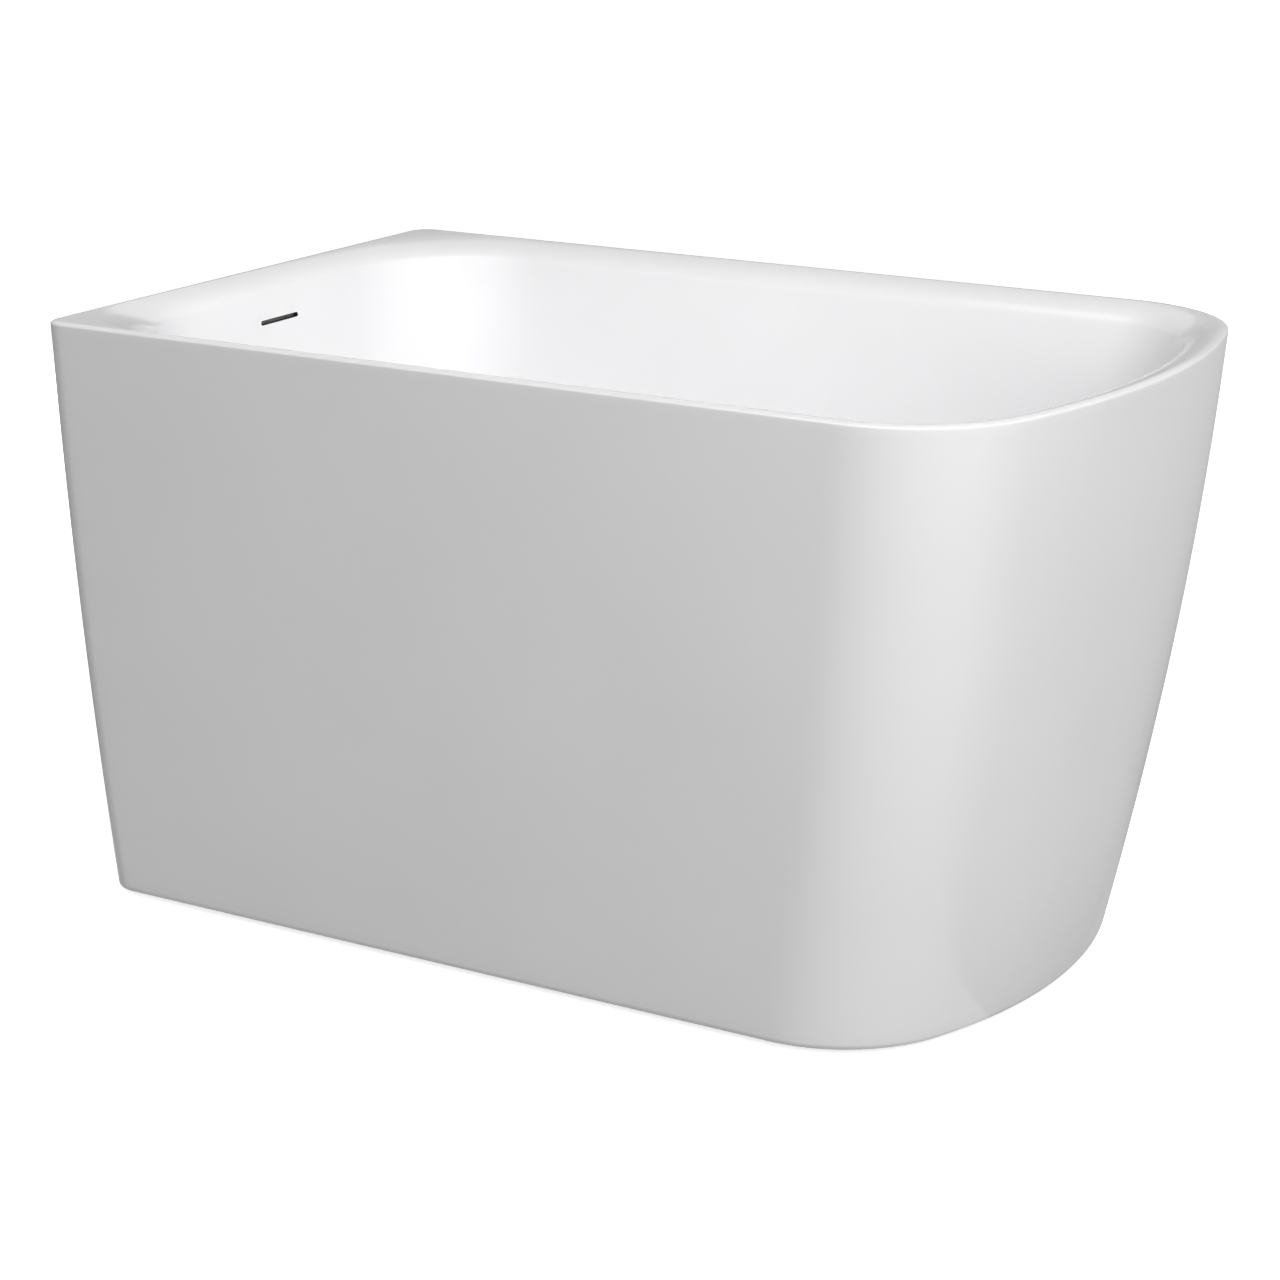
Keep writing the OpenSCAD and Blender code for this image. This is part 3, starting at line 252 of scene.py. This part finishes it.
def sind(angle):
    return math.sin(math.radians(angle))


def cosd(angle):
    return math.cos(math.radians(angle))


def tand(angle):
    return math.tan(math.radians(angle))


def point(x, y, z):
    return Vector((x, y, z)) * mm


def between(a, b, steps):
    return [a + (b - a) * i / steps for i in range(steps + 1)]


def arc(centre, r, start, end, steps):
    return [(centre[0] + r * cosd(a), centre[1] + r * sind(a)) for a in between(start, end, steps)]


def side(a, b):  # the points inside a straight side, close together at its ends
    return [(a[0] + (b[0] - a[0]) * s, a[1] + (b[1] - a[1]) * s) for s in plan["sideSteps"]]


def outline(left, right, half, squareR, roundR, reach):
    endR = (reach ** 2 + (half - roundR) ** 2 - roundR ** 2) / (2 * (reach - roundR))
    turn = math.degrees(math.atan2(half - roundR, endR - reach))
    square = arc((left + squareR, squareR - half), squareR, 180, 270, plan["squareSteps"])
    rounded = arc((right - reach, roundR - half), roundR, 270, 360 - turn, plan["roundSteps"])
    front = square + side(square[-1], rounded[0]) + rounded
    tip = arc((right - endR, 0), endR, -turn, turn, plan["endSteps"])[1:-1]
    rear = [(x, -y) for x, y in reversed(front)]
    return front + tip + rear + side(rear[-1], front[0])


def atHeight(points, z):
    return [point(x, y, z) for x, y in points]


def taperAt(z):  # it starts close under the rim's rounded edge, so that no crease shows at the joint
    top = plan["rim"] - skirt["taperDrop"]
    t = (top - z) / (top - skirt["gap"])
    return max(0, skirt["straight"] * t + (1 - skirt["straight"]) * t * t)


def skirtRing(z, inset):
    k = taperAt(z)
    return atHeight(outline(
        skirt["squareTaper"] * k + inset - plan["length"] / 2,
        plan["length"] / 2 - skirt["roundTaper"] * k - inset,
        plan["width"] / 2 - skirt["sideTaper"] * k - inset,
        max(skirt["flangeCornerR"], plan["squareR"] - inset), plan["roundR"] - inset, plan["reach"] - inset,
    ), z)


def rimRing(inset, drop, squareR):
    return atHeight(outline(
        inset - plan["length"] / 2, plan["length"] / 2 - inset, plan["width"] / 2 - inset,
        squareR, plan["roundR"] - inset, plan["reach"] - inset,
    ), plan["rim"] - drop)


rollStart = rim["edgeIn"] + rim["crest"]
lipIn = rollStart + rim["rollR"] * sind(rim["rollAngle"])
lipDrop = rim["rollR"] * (1 - cosd(rim["rollAngle"]))
lipCentre = (lipIn - rim["lipR"] * sind(rim["rollAngle"]), lipDrop + rim["lipR"] * cosd(rim["rollAngle"]))
joint = plan["rim"] - rim["bandHeight"]  # height at which the skirt meets the rim


def rollLine(s):  # inset and drop of the roll, a curve from the deck's first slope to the lip's
    width, first, last = lipIn - rollStart, rim["rollSlope"], rim["rollAngle"]
    reach = (width - lipDrop / tand(last)) / (cosd(first) - sind(first) / tand(last))
    bend = (reach * cosd(first), reach * sind(first))
    inset, drop = (2 * s * (1 - s) * b + s * s * e for b, e in zip(bend, (width, lipDrop)))
    return rollStart + inset, drop


def wallLine(drop, lean, off):  # distance in of the leaning wall; off is the depth into the sheet
    top = lipCentre[0] + rim["lipR"] * cosd(lean) - off / cosd(lean)
    return top + (drop - lipCentre[1] + rim["lipR"] * sind(lean)) * tand(lean)


def wallIn(drop, lean, off, bottom):  # the same with the lip above and the fillet below
    r, f = rim["lipR"] - off, basin["filletR"]
    if drop < lipCentre[1] - r * sind(lean):
        return lipCentre[0] + math.sqrt(max(0, r ** 2 - (lipCentre[1] - drop) ** 2))
    if drop < bottom - f + f * sind(lean):
        return wallLine(drop, lean, off)
    centre = wallLine(bottom - f, lean, off) + f / cosd(lean)
    return centre - math.sqrt(max(0, f ** 2 - (drop - bottom + f) ** 2))


def wallRing(drop, off, bottom):
    sideIn = wallIn(drop, basin["sideLean"], off, bottom)
    down = (drop - lipDrop) / (basin["depth"] - lipDrop)
    shrink = max(0, sideIn - wallLine(max(drop, lipCentre[1]), basin["sideLean"], off)) - off
    cornerR = basin["lipCornerR"] + (basin["floorCornerR"] - basin["lipCornerR"]) * down
    return atHeight(outline(
        wallIn(drop, basin["squareLean"], off, bottom) - plan["length"] / 2,
        plan["length"] / 2 - wallIn(drop, basin["roundLean"], off, bottom),
        plan["width"] / 2 - sideIn,
        cornerR - shrink, plan["roundR"] - lipIn - shrink, plan["reach"] - lipIn - shrink,
    ), plan["rim"] - drop)


def wallDrops(off, bottom, steps):  # how far below the rim the rings of lip, wall and fillet lie
    lipTurns = between(rim["rollAngle"], basin["lipTo"], steps[0])
    lip = [lipCentre[1] - (rim["lipR"] - off) * cosd(a) for a in lipTurns]
    fillet = [bottom - basin["filletR"] * (1 - sind(a)) for a in between(basin["filletFrom"], 90, steps[2])]
    return lip[1:] + between(lip[-1], fillet[0], steps[1])[1:-1] + fillet


def drainTurns(edge):  # directions from the drain to the floor's edge, evened out to keep its rings round
    turns = [math.atan2(p.y - drain.y, p.x - drain.x) for p in edge]
    gaps = [(b - a) % math.tau for a, b in zip(turns, turns[1:] + turns[:1])]
    for _ in range(basin["evenings"]):
        gaps = [(a + 2 * b + c) / 4 for a, b, c in zip(gaps[-1:] + gaps[:-1], gaps, gaps[1:] + gaps[:1])]
    tip = min(range(len(turns)), key=lambda i: abs(turns[i]))
    for i in range(tip, tip + len(turns) - 1):
        turns[(i + 1) % len(turns)] = turns[i % len(turns)] + gaps[i % len(turns)]
    return turns


def drainRing(turns, r, z):
    return [point(drain.x / mm + r * math.cos(a), drain.y / mm + r * math.sin(a), z) for a in turns]


def loft(bm, rings):  # the first ring is drawn, each further one is extruded from it and moved into place
    loop = [bm.verts.new(p) for p in rings[0]]
    edges = [bm.edges.new(pair) for pair in zip(loop, loop[1:] + loop[:1])]
    for ring in rings[1:]:
        fresh = set(bmesh.ops.extrude_edge_only(bm, edges=edges)["geom"])
        loop = [next(e.other_vert(v) for e in v.link_edges if e.other_vert(v) in fresh) for v in loop]
        for v, p in zip(loop, ring):
            v.co = p
        edges = [bm.edges.get(pair) for pair in zip(loop, loop[1:] + loop[:1])]


def finishMesh(bm, name, materials, sharp=35):
    mesh = bpy.data.meshes.new(name)
    bm.to_mesh(mesh)
    bm.free()
    mesh.polygons.foreach_set("use_smooth", [True] * len(mesh.polygons))
    mesh.set_sharp_from_angle(angle=math.radians(sharp))
    for one in materials:
        mesh.materials.append(one)
    made = bpy.data.objects.new(name, mesh)
    bpy.context.scene.collection.objects.link(made)
    return made


def cutWith(target, cutter):  # takes the cutter out of the target and deletes it
    cut = target.modifiers.new("cut", "BOOLEAN")
    cut.object = cutter
    cut.solver = "EXACT"
    seen = target.evaluated_get(bpy.context.evaluated_depsgraph_get())
    mesh = bpy.data.meshes.new_from_object(seen)
    target.modifiers.clear()
    old, target.data = target.data, mesh
    bpy.data.meshes.remove(old)
    bpy.data.objects.remove(cutter)


# The basin: one sheet, drawn from the drain up the inside, over the rim and down the laminate behind

print("basin")
drainZ = plan["rim"] - basin["depth"] - basin["fall"]
drain = point(basin["drainFromEnd"] - plan["length"] / 2, 0, drainZ)


def drainRings(turns):  # the hole in the recess, the recess's side and its rounded edge
    low, out, fillet = drainZ - basin["recess"], basin["recessR"], basin["recessFillet"]
    rings = [(basin["holeR"], low), (out - fillet, low), (out, low + fillet)]
    rings += [(out + more, drainZ - drop) for more, drop in basin["recessEdge"]]
    return [drainRing(turns, r, z) for r, z in rings]


def basinRings():
    bottom = basin["depth"]
    under = bottom + basin["fall"] + basin["sheet"]
    floorEdge = wallRing(bottom, 0, bottom)
    turns = drainTurns(floorEdge)
    flat = drainRing(turns, basin["flatR"], drainZ)
    rings = drainRings(turns) + [flat]
    for s in between(0, 1, basin["floorRings"])[1:-1]:
        ease = s * s * (3 - 2 * s)  # the floor leaves the flat and meets the fillet without a crease
        lift = point(0, 0, basin["fall"] * (ease - s))
        rings.append([a.lerp(b, s) + lift for a, b in zip(flat, floorEdge)])
    middle, clear = basin["slotDrop"], basin["slotClear"]
    drops = [d for d in wallDrops(0, bottom, basin["innerSteps"]) if abs(d - middle) > clear]
    drops += [middle - clear, middle + clear]  # no ring runs through the slot
    rings += [wallRing(d, 0, bottom) for d in sorted(drops, reverse=True)]
    for s in between(1, 0, rim["rollSteps"]):
        inset, drop = rollLine(s)
        share = (inset - rollStart) / (lipIn - rollStart)
        cornerR = rim["deckCornerR"] + (basin["lipCornerR"] - rim["deckCornerR"]) * share
        rings.append(rimRing(inset, drop, cornerR))
    for a in between(90, 0, rim["edgeSteps"]):  # the rounded edge is a quarter of an ellipse
        inset = rim["edgeIn"] * (1 - cosd(a))
        rings.append(rimRing(inset, rim["edgeDrop"] * (1 - sind(a)), plan["squareR"] - inset))
    band = between(plan["rim"] - rim["edgeDrop"], joint, rim["bandSteps"])
    rings += [skirtRing(z, 0) for z in band[1:-1]]
    shown = len(rings)
    rings.append(skirtRing(joint, 0))
    rings.append(rimRing(rim["bandT"], rim["bandHeight"], plan["squareR"] - rim["bandT"]))
    rings.append(rimRing(rim["bandT"], basin["sheet"], plan["squareR"] - rim["bandT"]))
    inner = rim["rollR"] - basin["sheet"]
    for a in between(0, rim["rollAngle"], rim["backSteps"]):
        inset = rollStart + inner * sind(a)
        rings.append(rimRing(inset, rim["rollR"] - inner * cosd(a), basin["lipCornerR"] + lipIn - inset))
    drops = wallDrops(basin["sheet"], under, basin["backSteps"])
    rings += [wallRing(d, basin["sheet"], under) for d in drops]
    rings.append(drainRing(turns, basin["holeR"], drainZ - basin["sheet"]))
    rings.append(rings[0])
    return rings, shown


def makeSlotCutter():
    half, r, lean = basin["slotLength"] / 2, basin["slotHeight"] / 2, basin["squareLean"]
    wall = wallLine(basin["slotDrop"], lean, 0) - plan["length"] / 2
    height = plan["rim"] - basin["slotDrop"]
    rings = []
    for out, wider in basin["slotCut"]:
        ends = arc((half - r, 0), r + wider, -90, 90, basin["slotSteps"])
        ends += arc((r - half, 0), r + wider, 90, 270, basin["slotSteps"])
        rings.append([point(wall + out - z * tand(lean), y, height + z) for y, z in ends])
    bm = bmesh.new()
    loft(bm, rings)
    bm.faces.ensure_lookup_table()
    for face in bm.faces[:len(rings[0])]:  # behind its rounded edge the slot's cut walls get black rubber: painted shade, so that the slot reads dark
        face.material_index = 2
    bmesh.ops.holes_fill(bm, edges=bm.edges)
    bmesh.ops.recalc_face_normals(bm, faces=bm.faces)
    return finishMesh(bm, "slotCutter", [finishes["acrylic"]])


def makeBasin():
    rings, shown = basinRings()
    bm = bmesh.new()
    loft(bm, rings)
    bm.faces.ensure_lookup_table()
    for i, face in enumerate(bm.faces):  # the laminate starts inside the band
        face.material_index = 1 if i // len(rings[0]) > shown + 1 else 0
    bmesh.ops.remove_doubles(bm, verts=bm.verts, dist=weld)
    bmesh.ops.recalc_face_normals(bm, faces=bm.faces)
    # the third material, black rubber, is painted shade on the slot's cut walls
    made = finishMesh(bm, "basin", [finishes["acrylic"], finishes["laminate"], finishes["rubber"]])
    cutWith(made, makeSlotCutter())
    made.data.set_sharp_from_angle(angle=math.radians(basin["slotSharp"]))  # the slot's edges are new
    return made


basinPiece = makeBasin()
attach(basinPiece, "bath")
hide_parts("basin_shell")


# The skirt: one sheet from the rim's joint to the flange turned in above the floor

print("skirt")


def makeSkirt():
    foot, turned, sheet = skirt["gap"], skirt["gap"] + skirt["lowerR"], skirt["sheet"]
    rings = [skirtRing(z, 0) for z in between(joint, turned, skirt["wallSteps"])]
    for a in between(0, 90, skirt["lowerSteps"])[1:]:
        rings.append(skirtRing(turned - skirt["lowerR"] * sind(a), skirt["lowerR"] * (1 - cosd(a))))
    rings.append(skirtRing(foot, skirt["flange"]))
    shown = len(rings) - 1
    rings.append(skirtRing(foot + sheet, skirt["flange"]))
    small = skirt["lowerR"] - sheet
    for a in between(90, 0, skirt["backLowerSteps"]):
        rings.append(skirtRing(turned - small * sind(a), sheet + small * (1 - cosd(a))))
    rings += [skirtRing(z, sheet) for z in between(turned, joint, skirt["backSteps"])[1:]]
    rings.append(rings[0])
    bm = bmesh.new()
    loft(bm, rings)
    bm.faces.ensure_lookup_table()
    for i, face in enumerate(bm.faces):  # laminate behind, but not on the sheet's edges
        face.material_index = 1 if shown < i // len(rings[0]) < len(rings) - 2 else 0
    bmesh.ops.remove_doubles(bm, verts=bm.verts, dist=weld)
    bmesh.ops.recalc_face_normals(bm, faces=bm.faces)
    return finishMesh(bm, "skirt", [finishes["acrylic"], finishes["laminate"]])


skirtPiece = makeSkirt()
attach(skirtPiece, "bath")
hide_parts("skirt_shell")


# The feet: a ball in the pad, a hexagon for the spanner and a rolled thread up through the nuts

print("feet")
stud = {
    "ballR": 9, "ballZ": 12, "neckR": 5, "hexZ": 25, "hexH": 8, "hexFlats": 14, "hexEdge": 0.6, "sunk": 1,
    "threadR": 6, "pitch": 1.75, "depth": 1.07, "crest": 0.22, "flankAngle": 30, "endBevel": 1.0,
    "threadSteps": 24, "ballSteps": 16, "roundSteps": 32, "sharp": 30,
}


def draw(bm, line):  # a line of (r, z) points beside the z axis, ready to be spun round it
    made = [bm.verts.new(point(r, 0, z)) for r, z in line]
    return made + [bm.edges.new(pair) for pair in zip(made, made[1:])]


def addThread(bm, bottom, top):  # one turn of a saw-tooth line, raised by a pitch, is the whole thread
    pitch, crest = stud["pitch"], stud["crest"]
    major, minor = stud["threadR"], stud["threadR"] - stud["depth"]
    flank = stud["depth"] * tand(stud["flankAngle"])
    line, z = [], bottom - 2 * pitch
    while z < top + pitch:
        line += [(minor, z), (major, z + flank), (major, z + flank + crest), (minor, z + 2 * flank + crest)]
        z += pitch
    geom, steps = draw(bm, line), stud["threadSteps"]
    rise = point(0, 0, pitch / steps)
    bmesh.ops.spin(bm, geom=geom, axis=(0, 0, 1), dvec=rise, angle=math.tau, steps=steps)
    bmesh.ops.remove_doubles(bm, verts=bm.verts, dist=weld)
    for z, way in ((bottom, -1), (top, 1)):
        geom = bm.verts[:] + bm.edges[:] + bm.faces[:]
        cut = {"plane_co": point(0, 0, z), "plane_no": (0, 0, way), "clear_outer": True}
        bmesh.ops.bisect_plane(bm, geom=geom, **cut)
    bmesh.ops.holes_fill(bm, edges=bm.edges)
    for v in bm.verts:  # the bevelled end
        limit = (stud["threadR"] - max(0, v.co.z / mm - top + stud["endBevel"])) * mm
        v.co.xy *= min(1, limit / max(v.co.xy.length, mm))


def addBall(bm):  # with the neck above it, up into the hexagon
    top = stud["hexZ"] + stud["sunk"]
    neckAngle = math.degrees(math.acos(stud["neckR"] / stud["ballR"]))
    line = arc((0, stud["ballZ"]), stud["ballR"], -90, neckAngle, stud["ballSteps"])
    line += [(stud["neckR"], top), (0, top)]
    geom, steps = draw(bm, line), stud["roundSteps"]
    bmesh.ops.spin(bm, geom=geom, axis=(0, 0, 1), angle=math.tau, steps=steps, use_merge=True)


def addHexagon(bm):
    r, middle = stud["hexFlats"] / 2 / cosd(30) * mm, point(0, 0, stud["hexZ"] + stud["hexH"] / 2)
    head = set(bmesh.ops.create_cone(
        bm, cap_ends=True, segments=6, radius1=r, radius2=r, depth=stud["hexH"] * mm,
        matrix=Matrix.Translation(middle),
    )["verts"])
    edges = [e for e in bm.edges if head.issuperset(e.verts)]
    level = [e for e in edges if abs(e.verts[0].co.z - e.verts[1].co.z) < weld]
    bmesh.ops.bevel(
        bm, geom=level, offset=stud["hexEdge"] * mm, segments=1, profile=0.5, affect="EDGES", material=-1,
    )


def makeStud(name):
    low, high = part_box(name)
    bm = bmesh.new()
    addThread(bm, stud["hexZ"] + stud["hexH"] - stud["sunk"], high.z / mm)
    addBall(bm)
    addHexagon(bm)
    bmesh.ops.remove_doubles(bm, verts=bm.verts, dist=weld)
    bmesh.ops.recalc_face_normals(bm, faces=bm.faces)
    bmesh.ops.translate(bm, vec=((low.x + high.x) / 2, (low.y + high.y) / 2, 0), verts=bm.verts)
    return finishMesh(bm, name + "_threaded", [finishes["zinc"]], stud["sharp"])


for name in [n for n in frame["nodes"] if n.startswith("foot_stud")]:
    studPiece = makeStud(name)
    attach(studPiece, name)
    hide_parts(name)


# Studio: pale floor, soft light all round with a glow at the front right, four lamps and a grey screen

print("studio")
studio = {
    "floorSize": 30.0, "floorLight": 0.72, "floorSeen": "#e6e6e6", "floorBounce": "#707070", "matt": 0.9,
    "white": "#ffffff", "sky": 0.12, "glow": 2.8, "glowFrom": (0.672, -0.525, 0.5225), "glowPower": 8.0,
}
lamps = {  # an area lamp has a size and aims at a point, a point lamp has a radius
    "frontRight": {
        "power": 13, "at": (1.5, -1.35, 1.35), "aim": (0.4, -0.15, 0.35), "size": (1.0, 1.4), "glossy": True,
    },
    "overhead": {
        "power": 8.5, "at": (0.1, -0.4, 2.4), "aim": (0.0, 0.1, 0.5), "size": (1.6, 1.0), "glossy": True,
    },
    "backLeft": {
        "power": 45, "at": (-2.2, 2.2, 1.0), "aim": (0.0, 0.0, 0.35), "size": (2.5, 1.4), "glossy": False,
    },
    "inTub": {"power": 0.6, "at": (-0.05, -0.08, 0.45), "radius": 0.15, "glossy": False},
}
screen = {
    "size": (1.05, 0.62), "inner": 0.3, "lift": 0.001, "height": 0.8,
    "first": -25, "turn": 250, "steps": 32,
    "light": 0.32, "fadeX": (0.25, 0.7), "fadeY": (-0.02, -0.4), "colour": "#4a4a4a",
}


def seenDirectly(tree):  # 1 for the camera, reflections and glass, 0 for light thrown on other surfaces
    ray = addNode(tree, "ShaderNodeLightPath", {})
    seen = ray["Is Camera Ray"]
    for also in ("Is Glossy Ray", "Is Transmission Ray"):
        seen = addNode(tree, "ShaderNodeMath", {0: seen, 1: ray[also]}, operation="MAXIMUM")[0]
    return seen


def makeFloor():  # lit from within where it is seen directly, so that it is white and keeps its shadow
    bm = bmesh.new()
    bmesh.ops.create_grid(bm, x_segments=1, y_segments=1, size=studio["floorSize"] / 2)
    made, tree, shader, _ = newMaterial("paleFloor")
    seen = seenDirectly(tree)
    lit = addNode(tree, "ShaderNodeMath", {0: seen, 1: studio["floorLight"]}, operation="MULTIPLY")[0]
    tones = {"Factor": seen, 6: srgb(studio["floorBounce"]), 7: srgb(studio["floorSeen"])}
    colour = addNode(tree, "ShaderNodeMix", tones, data_type="RGBA")[2]
    setInputs(tree, shader, {
        "Base Color": colour, "Roughness": studio["matt"],
        "Emission Color": srgb(studio["white"]), "Emission Strength": lit,
    })
    finishMesh(bm, "floor", [made])


def makeWorld():  # white where it is seen directly; as a light, soft with a wide glow at the front right
    world = bpy.data.worlds.new("studio")
    bpy.context.scene.world = world
    world.use_nodes = True
    tree = world.node_tree
    tree.nodes.clear()
    way = addNode(tree, "ShaderNodeTexCoord", {})["Generated"]
    toward = {0: way, 1: studio["glowFrom"]}
    front = addNode(tree, "ShaderNodeVectorMath", toward, operation="DOT_PRODUCT")["Value"]
    front = addNode(tree, "ShaderNodeMath", {0: front, 1: 0.0}, operation="MAXIMUM")[0]
    glow = addNode(tree, "ShaderNodeMath", {0: front, 1: studio["glowPower"]}, operation="POWER")[0]
    both = {0: glow, 1: studio["glow"], 2: studio["sky"]}
    level = addNode(tree, "ShaderNodeMath", both, operation="MULTIPLY_ADD")[0]
    white = srgb(studio["white"])
    light = addNode(tree, "ShaderNodeBackground", {"Color": white, "Strength": level})[0]
    plain = addNode(tree, "ShaderNodeBackground", {"Color": white, "Strength": 1.0})[0]
    mixed = addNode(tree, "ShaderNodeMixShader", {"Fac": seenDirectly(tree), 1: light, 2: plain})[0]
    addNode(tree, "ShaderNodeOutputWorld", {"Surface": mixed})


def makeLamp(name, settings):
    kind = "AREA" if "aim" in settings else "POINT"
    lamp = bpy.data.lights.new(name, kind)
    lamp.energy = settings["power"]
    made = bpy.data.objects.new(name, lamp)
    bpy.context.scene.collection.objects.link(made)
    made.location = settings["at"]
    made.visible_camera = False  # one stands close to the line of sight
    made.visible_glossy = settings["glossy"]
    if kind == "AREA":
        lamp.shape = "RECTANGLE"
        lamp.size, lamp.size_y = settings["size"]
        made.rotation_euler = (Vector(settings["aim"]) - made.location).to_track_quat("-Z", "Y").to_euler()
    else:
        lamp.shadow_soft_size = settings["radius"]


def makeScreen():  # round the back and on the floor, for reflections alone: they outline the white in grey
    line = [(screen["inner"], screen["lift"]), (1, screen["lift"]), (1, screen["height"])]
    bm = bmesh.new()
    ends = [bm.verts.new((r * cosd(screen["first"]), r * sind(screen["first"]), z)) for r, z in line]
    geom = ends + [bm.edges.new(pair) for pair in zip(ends, ends[1:])]
    bmesh.ops.spin(bm, geom=geom, axis=(0, 0, 1), angle=math.radians(screen["turn"]), steps=screen["steps"])
    bmesh.ops.scale(bm, vec=(*screen["size"], 1), verts=bm.verts)
    made, tree, shader, place = newMaterial("greyScreen")
    spot = addNode(tree, "ShaderNodeSeparateXYZ", {0: place})
    fades = []  # as light as the floor at both ends
    for way, (start, stop) in (("X", screen["fadeX"]), ("Y", screen["fadeY"])):
        fade = {"Value": spot[way], "From Min": start, "From Max": stop, "To Min": screen["light"]}
        fades.append(addNode(tree, "ShaderNodeMapRange", fade, interpolation_type="SMOOTHSTEP")[0])
    lighter = addNode(tree, "ShaderNodeMath", {0: fades[0], 1: fades[1]}, operation="MAXIMUM")[0]
    setInputs(tree, shader, {
        "Base Color": srgb(screen["colour"]), "Roughness": studio["matt"],
        "Emission Color": srgb(studio["white"]), "Emission Strength": lighter,
    })
    card = finishMesh(bm, "screen", [made])
    card.visible_camera = card.visible_diffuse = card.visible_transmission = card.visible_shadow = False


makeFloor()
makeWorld()
makeScreen()
for name, settings in lamps.items():
    makeLamp(name, settings)
bpy.context.scene.view_settings.view_transform = "Standard"


# Camera, from a fit to the rim's and the skirt's outlines in the photograph

camera = {
    "yaw": -0.54765, "pitch": 0.2892, "roll": -0.00386, "place": (1.70127, -2.85063, 1.28251),
    "focal": 3274.55, "image": 1280, "sensor": 36,  # the first two in pixels, the sensor in millimetres
}


def makeCamera():
    lens = bpy.data.cameras.new("camera")
    lens.sensor_width = camera["sensor"]
    lens.lens = camera["focal"] / camera["image"] * lens.sensor_width
    made = bpy.data.objects.new("camera", lens)
    bpy.context.scene.collection.objects.link(made)
    yaw, pitch, roll = camera["yaw"], camera["pitch"], camera["roll"]
    ahead = Vector((math.sin(yaw) * math.cos(pitch), math.cos(yaw) * math.cos(pitch), -math.sin(pitch)))
    right = Vector((math.cos(yaw), -math.sin(yaw), 0))
    up = right.cross(ahead)
    turned = right * math.cos(roll) + up * math.sin(roll), up * math.cos(roll) - right * math.sin(roll)
    axes = Matrix((turned[0], turned[1], -ahead)).transposed()
    made.matrix_world = Matrix.Translation(camera["place"]) @ axes.to_4x4()
    bpy.context.scene.camera = made


makeCamera()

bpy.context.view_layer.update()
print("done")
